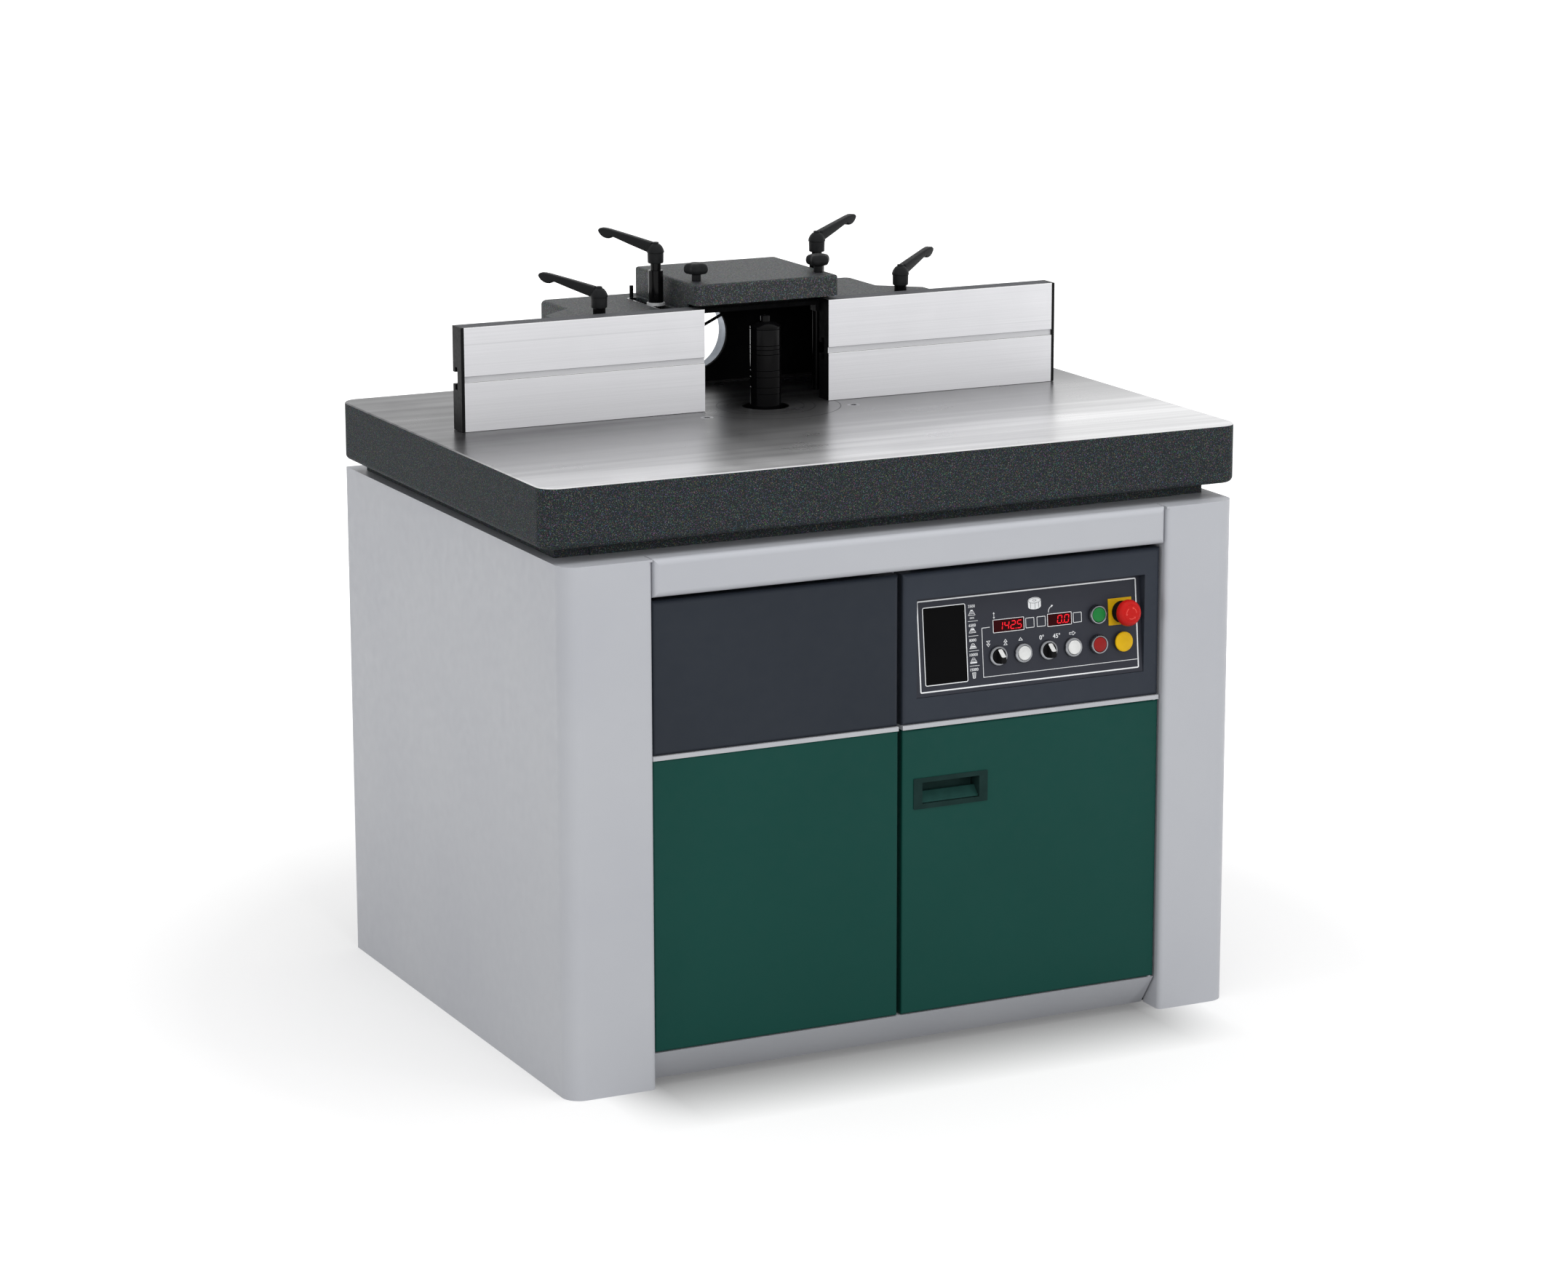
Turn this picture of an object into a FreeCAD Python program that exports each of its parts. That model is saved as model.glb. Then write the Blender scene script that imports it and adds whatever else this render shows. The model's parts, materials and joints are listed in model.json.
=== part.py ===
import FreeCAD
import Part
import Sketcher
import math
import os

# Spindle moulder: a floor-standing cabinet that carries a cast-iron table, a tilting and rising
# spindle unit under it, and a fence hood on top. Millimetres, +Z up, the front faces -Y.
# The origin is on the floor under the middle of the whole machine.

doc = FreeCAD.newDocument("spindle_moulder")

# Driving sizes, one sheet cell each
SIZES = {
    # general fits
    "overrun": 2,
    "shaft_clearance": 0.05,
    "running_gap": 0.3,
    "sheet": 3,
    # cabinet
    "cabinet_width": 1096,
    "cabinet_depth": 846,
    "cabinet_rear": 428,
    "table_stand": 110,
    "left_post_width": 137,
    "right_post_width": 121,
    "post_corner_radius": 28,
    "post_edge_radius": 8,
    "post_return": 45,
    "base_rail": 60,
    "anchor_radius": 7,
    "deck_opening_half": 205,
    "deck_opening_ahead": 190,
    "deck_opening_behind": 335,
    "centre_post_width": 60,
    "centre_post_depth": 30,
    # front panels
    "panel_recess": 12,
    "panel_depth": 30,
    "panel_gap": 7,
    "panel_split_x": -11.5,
    "panel_side_gap": 3,
    "panel_edge_radius": 3,
    "moulding_radius": 6,
    "kick_top": 50,
    "kick_slope": 35,
    "kick_flange": 62,
    "strip_below": 232,
    "strip_height": 6.5,
    "strip_proud": 1.5,
    "rail_height": 56,
    "rail_depth": 30,
    "rail_edge_radius": 9,
    "rail_wall": 6,
    # plinth
    "plinth_side_gap": 36,
    "plinth_set_back": 72,
    "plinth_rear_gap": 42,
    "plinth_wall": 12,
    "plinth_strip_inset": 54,
    "plinth_strip_height": 17,
    # table
    "table_width": 1132,
    "table_depth": 798,
    "table_top": 890,
    "table_rim_depth": 89,
    "table_plate": 22,
    "table_rim_wall": 16,
    "table_corner_radius": 28,
    "table_edge_bevel": 1.5,
    "table_low_radius": 8,
    "table_centre_ahead": 424,
    "opening_radius": 115,
    "ring_ledge": 10,
    "ring_thickness": 12,
    "ring_step": 4,
    "outer_ring_bore": 76,
    "middle_ring_bore": 59,
    "spindle_hole_radius": 36,
    "hole_land": 1,
    "bush_spacing": 248,
    "bush_ahead": 53,
    "bush_radius": 10,
    "bush_bore": 5,
    # tilt mechanism, from the tilt axis in the table top plane
    "spindle_back": 60,
    "cradle_inner_x": 150,
    "cradle_thickness": 20,
    "cradle_reach": 165,
    "groove_inner": 120,
    "groove_outer": 140,
    "groove_depth": 10,
    "groove_half_angle": 79,
    "rib_start_angle": -118,
    "rib_end_angle": -18,
    "side_plate_thickness": 19.5,
    "side_plate_inner": 95,
    "side_plate_outer": 142,
    "gear_module": 4,
    "segment_pitch_radius": 200,
    "segment_start_angle": -97.2,
    "pinion_pitch_radius": 40,
    "gear_width": 17,
    "tooth_half_share": 0.22,
    "tooth_slope": 20,
    "pinion_shaft_radius": 12,
    "ear_half_width": 50,
    "ear_drop": 290,
    "gearmotor_length": 90,
    "gearmotor_radius": 38,
    "frame_bar_front": 70,
    "frame_bar_depth": 46,
    "frame_bar_top": 92,
    "frame_bar_thickness": 18,
    "column_x": 80,
    "column_y": 95,
    "column_radius": 18,
    "foot_plate_drop": 490,
    "foot_plate_thickness": 15,
    "foot_plate_half": 110,
    "lift_motor_height": 55,
    "lift_motor_radius": 32,
    "screw_radius": 10,
    # spindle unit
    "quill_radius": 48,
    "quill_top": 80,
    "carriage_top": 118,
    "carriage_bottom": 285,
    "carriage_half": 112,
    "carriage_front": 62,
    "carriage_back": 122,
    "carriage_web_half": 40,
    "motor_plate": 15,
    "motor_plate_half": 95,
    "motor_back": 215,
    "motor_radius": 88,
    "motor_height": 210,
    "motor_shaft_radius": 14,
    "terminal_box": 60,
    "bearing_radius": 36,
    "bearing_width": 17,
    "bearing_inset": 8,
    "arbor_radius": 15,
    "journal_radius": 17,
    "pulley_shaft_radius": 12,
    "spindle_flange_top": 20.5,
    "stack_radius": 23.75,
    "stack_bevel": 0.7,
    "ring_tall": 25,
    "ring_thin": 6,
    "ring_low": 7.5,
    "ring_ten": 10,
    "ring_mid": 16,
    "cap_height": 10,
    "cap_bevel": 4,
    "cap_screw_radius": 7.5,
    "cap_screw_height": 10,
    "cap_screw_socket": 4,
    "pulley_top": 300,
    "pulley_step": 14,
    "pulley_pair_sum": 108,
    "belt_thickness": 4,
    "belt_width": 11,
    # fence
    "fence_ahead": 6,
    "fence_length": 397,
    "fence_gap": 210,
    "fence_height": 156,
    "fence_thickness": 33,
    "fence_lift": 0.5,
    "fence_cap": 5,
    "face_groove": 9,
    "face_groove_depth": 2.5,
    "slot_neck": 18,
    "slot_head": 34,
    "slot_neck_depth": 8,
    "slot_head_depth": 9,
    "hood_height": 151,
    "hood_wall": 6,
    "hood_centre_x": -7,
    "hood_rear": 233,
    "hood_rear_half": 269,
    "hood_front_half": 327,
    "hood_shoulder": 84,
    "hood_chamfer_y": 50,
    "hood_corner_radius": 14,
    "hood_edge_radius": 7,
    "cover_centre_x": 2,
    "cover_half": 121,
    "cover_height": 43,
    "cover_front_gap": 11,
    "cover_set_back": 2,
    "cover_rear": 220,
    "cover_wall": 4,
    "cover_corner_radius": 6,
    "cover_edge_radius": 4,
    "cover_hole_margin": 28,
    "post_x": 137.5,
    "post_y": 100,
    "post_stud_radius": 8,
    "post_sleeve_radius": 11.5,
    "post_sleeve_above": 54,
    "post_washer_radius": 14,
    "post_washer": 4,
    "post_slot_ahead": 50,
    "post_slot_behind": 75,
    "port_centre_x": -11,
    "port_height": 77,
    "port_radius": 60,
    "port_wall": 1.5,
    "port_mouth_radius": 54,
    "port_length": 34,
    "port_flange": 10,
    "port_flange_thickness": 5,
    "guard_bar_radius": 2.4,
    "guard_bar_angle": 25,
    "guard_bar_above": 10,
    "peg_radius": 3,
    "peg_height": 18,
    "clamp_x": 256,
    "clamp_y": 46,
    "clamp_half": 20,
    # levers and star knobs
    "post_lever_above": 65,
    "clamp_lever_above": 12,
    "lever_hub_radius": 12.5,
    "lever_hub_height": 16,
    "lever_dome_height": 13.5,
    "lever_dome_share": 0.3,
    "lever_screw_radius": 5.5,
    "lever_screw_height": 3.5,
    "lever_stud_radius": 8,
    "lever_width": 13,
    "lever_length": 97,
    "lever_root_low": 12.7,
    "lever_root_high": 30,
    "lever_neck_reach": 72,
    "lever_neck_low": 38.2,
    "lever_hook_run": 9,
    "lever_hook_drop": 3.8,
    "lever_nose_low": 40,
    "lever_nose_drop": 4,
    "lever_tip_run": 11,
    "lever_tip_high": 49.5,
    "lever_edge_radius": 2.5,
    "left_post_turn": 125,
    "right_post_turn": 28,
    "left_clamp_turn": 131,
    "right_clamp_turn": 34,
    "star_centre_x": 5,
    "star_x": 103.5,
    "star_y": 37,
    "star_stem_radius": 7,
    "star_stem_height": 11.5,
    "star_radius": 19,
    "star_height": 16,
    "star_bolt_radius": 4,
    "star_bolt_grip": 8,
    "star_nut_depth": 10,
    "star_nut_half": 9,
    "hatch_behind_star": 17,
    "star_lobe_count": 5,
    "star_lobe_share": 0.42,
    "star_edge_radius": 5,
    # door, latch and pivots
    "door_clearance": 1.5,
    "pivot_inset": 5,
    "pivot_radius": 3,
    "pivot_depth": 12,
    "pivot_block": 13,
    "handle_left": 18.5,
    "handle_below": 122,
    "handle_width": 123,
    "handle_height": 46.5,
    "handle_proud": 1.5,
    "handle_flange": 4,
    "handle_cup_depth": 29,
    "handle_wall": 3,
    "handle_side_border": 14,
    "handle_top_border": 7,
    "handle_bottom_border": 5,
    "paddle_length": 19,
    "paddle_thickness": 3,
    "paddle_angle": 48,
    "paddle_inset": 3,
    "paddle_lift": 1,
    "paddle_pin_radius": 1.4,
    "paddle_pin_reach": 3,
    # control panel, in the plane of its tilted plate
    "control_left_margin": 23,
    "control_right_margin": 26,
    "control_low_margin": 38.5,
    "control_high_margin": 39,
    "control_low_depth": 3,
    "control_tilt": 6,
    "control_wall": 3,
    "plate_thickness": 2,
    "button_first_share": 0.360313,
    "button_pitch_share": 0.110183,
    "button_low_share": 0.326579,
    "button_high_share": 0.626280,
    "button_radius": 11.6,
    "button_proud": 9,
    "button_sunk": 6,
    "bezel_radius": 15,
    "bezel_top_radius": 13.6,
    "bezel_height": 5,
    "yellow_radius": 15,
    "estop_radius": 20,
    "estop_proud": 31.4,
    "estop_head": 14,
    "estop_edge_radius": 5,
    "selector_grip_width": 8,
    "selector_grip_length": 24,
    "selector_grip_height": 11,
    "selector_disc": 3,
    "window_left_share": 0.041775,
    "window_width_share": 0.182768,
    "window_low_share": 0.114236,
    "window_height_share": 0.766051,
    "display_low_share": 0.554379,
    "display_height_share": 0.127675,
    "first_display_share": 0.343342,
    "first_display_width_share": 0.135770,
    "second_display_share": 0.581201,
    "second_display_width_share": 0.107050,
    "display_thickness": 0.6,
}

sheet = doc.addObject("Spreadsheet::Sheet", "sizes")


class Size:
    """A number and the sheet expression that gives it, so that sums of sizes stay bound to the sheet."""

    def __init__(self, number, text):
        self.number = number
        self.text = text

    def join(self, sign, other, number):
        return Size(number, f"({self.text} {sign} {other.text})")

    def __add__(self, other):
        other = as_size(other)
        return self.join("+", other, self.number + other.number)

    def __sub__(self, other):
        other = as_size(other)
        return self.join("-", other, self.number - other.number)

    def __mul__(self, other):
        other = as_size(other)
        return self.join("*", other, self.number * other.number)

    def __truediv__(self, other):
        other = as_size(other)
        return self.join("/", other, self.number / other.number)

    def __rtruediv__(self, other):
        return as_size(other) / self

    def __radd__(self, other):
        return as_size(other) + self

    def __rsub__(self, other):
        return as_size(other) - self

    def __rmul__(self, other):
        return as_size(other) * self

    def __neg__(self):
        return Size(-self.number, f"(0 - {self.text})")


def as_size(value):
    """A plain number as a Size."""
    return value if isinstance(value, Size) else Size(value, str(value))


def sine(angle):
    """Sine of an angle in degrees."""
    angle = as_size(angle)
    return Size(math.sin(math.radians(angle.number)), f"sin({angle.text})")


def cosine(angle):
    """Cosine of an angle in degrees."""
    angle = as_size(angle)
    return Size(math.cos(math.radians(angle.number)), f"cos({angle.text})")


class Sheet:
    """The cells of the sheet by their aliases."""


s = Sheet()
for row, (alias, number) in enumerate(SIZES.items(), start=1):
    sheet.set(f"A{row}", alias)
    sheet.set(f"B{row}", str(number))
    sheet.setAlias(f"B{row}", alias)
    setattr(s, alias, Size(number, "sizes." + alias))
doc.recompute()

SIDES = (("left", -1), ("right", 1))
PLANES = {"x": "YZ_Plane", "y": "XZ_Plane", "z": "XY_Plane"}
X_AXIS = FreeCAD.Vector(1, 0, 0)
Y_AXIS = FreeCAD.Vector(0, 1, 0)
Z_AXIS = FreeCAD.Vector(0, 0, 1)
TURNS = {
    "x": FreeCAD.Rotation(Y_AXIS, 90),
    "y": FreeCAD.Rotation(X_AXIS, -90),
    "z": FreeCAD.Rotation(),
}
CYCLE = FreeCAD.Rotation(X_AXIS + Y_AXIS + Z_AXIS, 120)
NEAR = 1e-4

nodes = []


# Building blocks

def bind(thing, prop, size):
    """Bind one property of an object to a sum of sheet cells."""
    thing.setExpression(prop, as_size(size).text)


def place(thing, at, rotation=FreeCAD.Rotation()):
    """Give an object its rotation and bind its base point."""
    thing.Placement = FreeCAD.Placement(FreeCAD.Vector(), rotation)
    for axis, size in zip("xyz", at):
        bind(thing, "Placement.Base." + axis, size)


def node(label, thing):
    """Name a finished sub-part."""
    thing.Label = label
    nodes.append(thing)
    return thing


def box(name, x, y, z):
    """A box between its low and high limits along each axis."""
    solid = doc.addObject("Part::Box", name)
    for prop, (low, high) in zip(("Length", "Width", "Height"), (x, y, z)):
        bind(solid, prop, high - low)
    place(solid, (x[0], y[0], z[0]))
    return solid


def cylinder(name, axis, at, radius, length):
    """A cylinder from a base point along an axis."""
    solid = doc.addObject("Part::Cylinder", name)
    bind(solid, "Radius", radius)
    bind(solid, "Height", length)
    place(solid, at, TURNS[axis])
    return solid


def cone(name, axis, at, radius, top_radius, length):
    """A cone frustum from a base point along an axis."""
    solid = doc.addObject("Part::Cone", name)
    bind(solid, "Radius1", radius)
    bind(solid, "Radius2", top_radius)
    bind(solid, "Height", length)
    place(solid, at, TURNS[axis])
    return solid


def fuse(name, *solids):
    """One solid from several that meet."""
    result = doc.addObject("Part::MultiFuse", name)
    result.Shapes = list(solids)
    return result


def group(name, *solids):
    """Separate solids in one object."""
    result = doc.addObject("Part::Compound", name)
    result.Links = list(solids)
    return result


def cut(name, base, *tools):
    """A solid with other solids taken out of it."""
    result = doc.addObject("Part::Cut", name)
    result.Base = base
    result.Tool = tools[0] if len(tools) == 1 else fuse(name + "_tools", *tools)
    return result


def ring(name, axis, at, radius, bore, length):
    """A tube from a base point along an axis."""
    outer = cylinder(name + "_outer", axis, at, radius, length)
    inner = cylinder(name + "_bore", axis, at, bore, length)
    return cut(name, outer, inner)


def mirrored(name, solid):
    """The same solid on the other side of the machine's middle plane."""
    result = doc.addObject("Part::Mirroring", name)
    result.Source = solid
    result.Normal = X_AXIS
    return result


def sketch_on(body, axis, offset):
    """A sketch on the body's own origin plane across an axis."""
    sketch = body.newObject("Sketcher::SketchObject", body.Name + "_sketch")
    planes = [feature for feature in body.Origin.OriginFeatures if feature.Role == PLANES[axis]]
    sketch.AttachmentSupport = [(planes[0], "")]
    sketch.MapMode = "FlatFace"
    bind(sketch, "AttachmentOffset.Base.z", offset)
    return sketch


def draw(sketch, points):
    """A closed outline of straight lines, with every corner held by its own two sizes."""
    points = [(as_size(u), as_size(v)) for u, v in points]
    corners = [FreeCAD.Vector(u.number, v.number, 0) for u, v in points]
    after = corners[1:] + corners[:1]
    sketch.addGeometry([Part.LineSegment(a, b) for a, b in zip(corners, after)])
    count = len(points)
    rules = [Sketcher.Constraint("Coincident", i, 2, (i + 1) % count, 1) for i in range(count)]
    for i, (u, v) in enumerate(points):
        rules.append(Sketcher.Constraint("DistanceX", -1, 1, i, 1, float(u.number)))
        rules.append(Sketcher.Constraint("DistanceY", -1, 1, i, 1, float(v.number)))
    sketch.addConstraint(rules)
    for i, (u, v) in enumerate(points):
        bind(sketch, f"Constraints[{count + 2 * i}]", u)
        bind(sketch, f"Constraints[{count + 2 * i + 1}]", v)


def prism(name, axis, points, low, high):
    """A body with an outline across an axis, padded between two levels on that axis."""
    body = doc.addObject("PartDesign::Body", name)
    sketch = sketch_on(body, axis, -high if axis == "y" else low)
    draw(sketch, points)
    pad = body.newObject("PartDesign::Pad", name + "_pad")
    pad.Profile = sketch
    bind(pad, "Length", high - low)
    return body


def turned(name, points, at, axis="z"):
    """A body turned from an outline of (radius, height) points about an axis."""
    body = doc.addObject("PartDesign::Body", name)
    sketch = sketch_on(body, "y", 0)
    draw(sketch, points)
    spin = body.newObject("PartDesign::Revolution", name + "_turn")
    spin.Profile = sketch
    spin.ReferenceAxis = (sketch, ["V_Axis"])
    place(body, at, TURNS[axis])
    return body


def dress(body, kind, prop, size, chosen):
    """Round or bevel the edges of a body that a test picks."""
    doc.recompute()
    base = body.Tip
    edges = enumerate(base.Shape.Edges, start=1)
    names = [f"Edge{i}" for i, edge in edges if chosen(edge)]
    feature = body.newObject("PartDesign::" + kind, body.Name + "_" + kind.lower())
    feature.Base = (base, names)
    bind(feature, prop, size)
    return body


def rounded(body, radius, chosen):
    """Round the chosen edges."""
    return dress(body, "Fillet", "Radius", radius, chosen)


def bevelled(body, size, chosen):
    """Bevel the chosen edges."""
    return dress(body, "Chamfer", "Size", size, chosen)


def at_level(axis, size):
    """A test for edges that lie in one plane across an axis."""
    level = as_size(size).number

    def test(edge):
        return all(abs(getattr(vertex.Point, axis) - level) < NEAR for vertex in edge.Vertexes)
    return test


def along(axis, *corners):
    """A test for straight edges along an axis through given corners, as points across that axis."""
    others = [letter for letter in "xyz" if letter != axis]
    spots = [[as_size(size).number for size in corner] for corner in corners]

    def near(vertex, spot):
        return all(abs(getattr(vertex.Point, o) - value) < NEAR for o, value in zip(others, spot))

    def test(edge):
        return any(all(near(vertex, spot) for vertex in edge.Vertexes) for spot in spots)
    return test


def rectangle(a, b):
    """The corners of a rectangle from its limits along two axes."""
    return [(a[0], b[0]), (a[1], b[0]), (a[1], b[1]), (a[0], b[1])]


def pan(name, x, z, front, depth, radius, wall=s.sheet):
    """A pressed panel: a skin with returned edges, rounded at the front and open at the back."""
    body = prism(name + "_blank", "y", rectangle(x, z), front, front + depth)
    rounded(body, radius, at_level("y", front))
    hollow = box(
        name + "_hollow",
        (x[0] + wall, x[1] - wall),
        (front + wall, front + depth + s.overrun),
        (z[0] + wall, z[1] - wall))
    return cut(name, body, hollow)


def sector(name, radius, bore, start, end, x):
    """Part of a ring about the tilt axis, between two angles from +Y, between two levels along X."""
    parts = []
    turn = CYCLE.multiply(FreeCAD.Rotation(Z_AXIS, start.number))
    for kind, size in (("_outer", radius), ("_bore", bore)):
        solid = doc.addObject("Part::Cylinder", name + kind)
        bind(solid, "Radius", size)
        bind(solid, "Height", x[1] - x[0])
        bind(solid, "Angle", end - start)
        place(solid, (x[0], spindle_y, s.table_top), turn)
        parts.append(solid)
    return cut(name, *parts)


def toothed(name, pitch_radius, width, span, count):
    """A gear about its own Z axis: teeth with straight flanks, the first one on +X."""
    pitch = s.gear_module * math.pi
    root = pitch_radius - s.gear_module * ROOT_SHARE
    tip = pitch_radius + s.gear_module * TIP_SHARE
    flank = sine(s.tooth_slope)
    half = pitch * s.tooth_half_share
    foot = root - s.gear_module * FOOT_SHARE
    body = doc.addObject("PartDesign::Body", name)
    blank = sketch_on(body, "z", 0)
    blank.addGeometry([Part.Circle(FreeCAD.Vector(), Z_AXIS, float(root.number))])
    blank.addConstraint(Sketcher.Constraint("Coincident", 0, 3, -1, 1))
    blank.addConstraint(Sketcher.Constraint("Radius", 0, float(root.number)))
    bind(blank, "Constraints[1]", root)
    disc = body.newObject("PartDesign::Pad", name + "_disc")
    disc.Profile = blank
    bind(disc, "Length", width)
    outline = sketch_on(body, "z", 0)
    wide = half + (pitch_radius - foot) * flank
    thin = half - (tip - pitch_radius) * flank
    draw(outline, [(foot, -wide), (tip, -thin), (tip, thin), (foot, wide)])
    tooth = body.newObject("PartDesign::Pad", name + "_tooth")
    tooth.Profile = outline
    bind(tooth, "Length", width)
    pattern = body.newObject("PartDesign::PolarPattern", name + "_teeth")
    pattern.Originals = [tooth]
    spin_axis = [feature for feature in body.Origin.OriginFeatures if feature.Role == "Z_Axis"][0]
    pattern.Axis = (spin_axis, [""])
    pattern.Angle = span
    pattern.Occurrences = count
    body.Tip = pattern
    return body


# Main places that several pieces share
half_cabinet = s.cabinet_width / 2
cabinet_back = s.cabinet_rear
cabinet_front = cabinet_back - s.cabinet_depth
cabinet_top = s.table_top - s.table_stand
left_edge = s.left_post_width - half_cabinet
right_edge = half_cabinet - s.right_post_width
door_face = cabinet_front + s.panel_recess
panel_back = door_face + s.panel_depth
left_panel = (left_edge + s.panel_side_gap, s.panel_split_x - s.panel_gap / 2)
right_panel = (s.panel_split_x + s.panel_gap / 2, right_edge - s.panel_side_gap)
rail_bottom = cabinet_top - s.rail_height
upper_panel_top = rail_bottom - s.panel_gap
strip_bottom = upper_panel_top - s.strip_below
strip_top = strip_bottom + s.strip_height
handle_bottom = strip_bottom - s.handle_below
deck_bottom = cabinet_top - s.sheet
base_top = s.kick_top - s.sheet
base_front = door_face + s.kick_slope + s.sheet * 2
table_y = cabinet_back - s.table_centre_ahead
spindle_y = table_y + s.spindle_back
plate_bottom = s.table_top - s.table_plate
fence_bottom = s.table_top + s.fence_lift
fence_face = spindle_y - s.fence_ahead
fence_back = fence_face + s.fence_thickness
hood_front = fence_back + s.fence_lift
hood_top = s.table_top + s.hood_height
hood_roof = hood_top - s.hood_wall
cover_top = hood_top + s.cover_height
lever_post_z = hood_top + s.post_lever_above
lever_clamp_z = hood_top + s.clamp_lever_above
control_left = right_panel[0] + s.control_left_margin
control_right = right_panel[1] - s.control_right_margin
control_low = strip_top + s.control_low_margin
control_rise = upper_panel_top - s.control_high_margin - control_low
pivot_x = right_panel[1] - s.pivot_inset
pivot_y = door_face + s.pivot_inset
pin_length = s.pivot_depth + s.door_clearance


def from_spindle(y, z):
    """A point beside the spindle: y behind its axis and z above the table top."""
    return spindle_y + y, s.table_top + z


# Cabinet shells, frame and fixed panels

def side_shell(name, side, edge):
    """One side wall and its front post, folded from one sheet; side is 1 for right, -1 for left."""
    front = cabinet_front
    rear = cabinet_back - s.sheet
    outer = half_cabinet * side
    inner = (half_cabinet - s.sheet) * side
    lip = edge + s.sheet * side
    plan = [
        (edge, front),
        (outer, front),
        (outer, rear),
        (inner, rear),
        (inner, front + s.sheet),
        (lip, front + s.sheet),
        (lip, front + s.post_return),
        (edge, front + s.post_return),
    ]
    shell = prism(name + "_blank", "z", plan, as_size(0), deck_bottom)
    rounded(shell, s.post_corner_radius, along("z", (outer, front)))
    rounded(shell, s.post_corner_radius - s.sheet, along("z", (inner, front + s.sheet)))
    rounded(shell, s.post_edge_radius, along("z", (edge, front)))
    node(name, shell)


def cabinet():
    rear = cabinet_back - s.sheet
    front = cabinet_front
    inner = half_cabinet - s.sheet
    side_shell("right_side_shell", 1, right_edge)
    side_shell("left_side_shell", -1, left_edge)
    full = (-half_cabinet, half_cabinet)
    node("rear_panel", box("rear_panel", full, (rear, cabinet_back), (as_size(0), deck_bottom)))

    rail_back = front + s.rail_depth
    deck_plan = [
        (-half_cabinet, cabinet_back),
        (-half_cabinet, front),
        (left_edge, front),
        (left_edge, rail_back),
        (right_edge, rail_back),
        (right_edge, front),
        (half_cabinet, front),
        (half_cabinet, cabinet_back),
    ]
    deck = prism("deck_blank", "z", deck_plan, deck_bottom, cabinet_top)
    rounded(deck, s.post_corner_radius, along("z", (half_cabinet, front), (-half_cabinet, front)))
    opening = box(
        "deck_opening",
        (-s.deck_opening_half, s.deck_opening_half),
        (spindle_y - s.deck_opening_ahead, spindle_y + s.deck_opening_behind),
        (deck_bottom - s.overrun, cabinet_top + s.overrun))
    node("top_deck", cut("top_deck", deck, opening))

    base_x = (-inner, inner)
    base_y = (base_front, rear)
    outer = box("base_outer", base_x, base_y, (as_size(0), base_top))
    window = box(
        "base_window",
        (base_x[0] + s.base_rail, base_x[1] - s.base_rail),
        (base_y[0] + s.base_rail, base_y[1] - s.base_rail),
        (-s.overrun, base_top + s.overrun))
    holes = []
    for x in (base_x[0] + s.base_rail / 2, base_x[1] - s.base_rail / 2):
        for y in (base_y[0] + s.base_rail / 2, base_y[1] - s.base_rail / 2):
            start = (x, y, -s.overrun)
            holes.append(cylinder("anchor_hole", "z", start, s.anchor_radius, base_top + s.overrun * 2))
    node("base_frame", cut("base_frame", outer, window, *holes))

    kick_back = door_face + s.kick_slope
    section = [
        (door_face, s.kick_top),
        (kick_back, 0),
        (kick_back + s.sheet, 0),
        (door_face + s.sheet * 2, base_top),
        (door_face + s.kick_flange, base_top),
        (door_face + s.kick_flange, s.kick_top),
    ]
    kick_x = (left_panel[0], right_panel[1])
    kick = prism("kick_blank", "x", section, *kick_x)
    lower_pin = cylinder("lower_pin", "z", (pivot_x, pivot_y, s.kick_top), s.pivot_radius, pin_length)
    node("kick_plate", group("kick_plate", kick, lower_pin))

    post_front = panel_back + s.running_gap
    post_x = (s.panel_split_x - s.centre_post_width / 2, s.panel_split_x + s.centre_post_width / 2)
    post_y = (post_front, post_front + s.centre_post_depth)
    node("centre_post", box("centre_post", post_x, post_y, (s.kick_top, deck_bottom)))

    rail_x = (left_edge + s.door_clearance, right_edge - s.door_clearance)
    rail_z = (rail_bottom, cabinet_top)
    rail = pan("rail", rail_x, rail_z, front, s.rail_depth, s.rail_edge_radius, s.rail_wall)
    node("front_top_rail", rail)
    lower_z = (s.kick_top + s.door_clearance, strip_bottom)
    lower = pan("lower_panel", left_panel, lower_z, door_face, s.panel_depth, s.panel_edge_radius)
    node("left_lower_panel", lower)
    upper_z = (strip_top, upper_panel_top)
    upper = pan("upper_panel", left_panel, upper_z, door_face, s.panel_depth, s.moulding_radius)
    node("left_upper_panel", upper)
    strip_y = (door_face - s.strip_proud, panel_back)
    strip_z = (strip_bottom, strip_top)
    strips = [box("strip", x, strip_y, strip_z) for x in (left_panel, right_panel)]
    pin_start = (pivot_x, pivot_y, strip_bottom - pin_length)
    upper_pin = cylinder("upper_pin", "z", pin_start, s.pivot_radius, pin_length)
    node("trim_strips", group("trim_strips", *strips, upper_pin))


# Table, its plinth, rings and bushes

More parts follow.
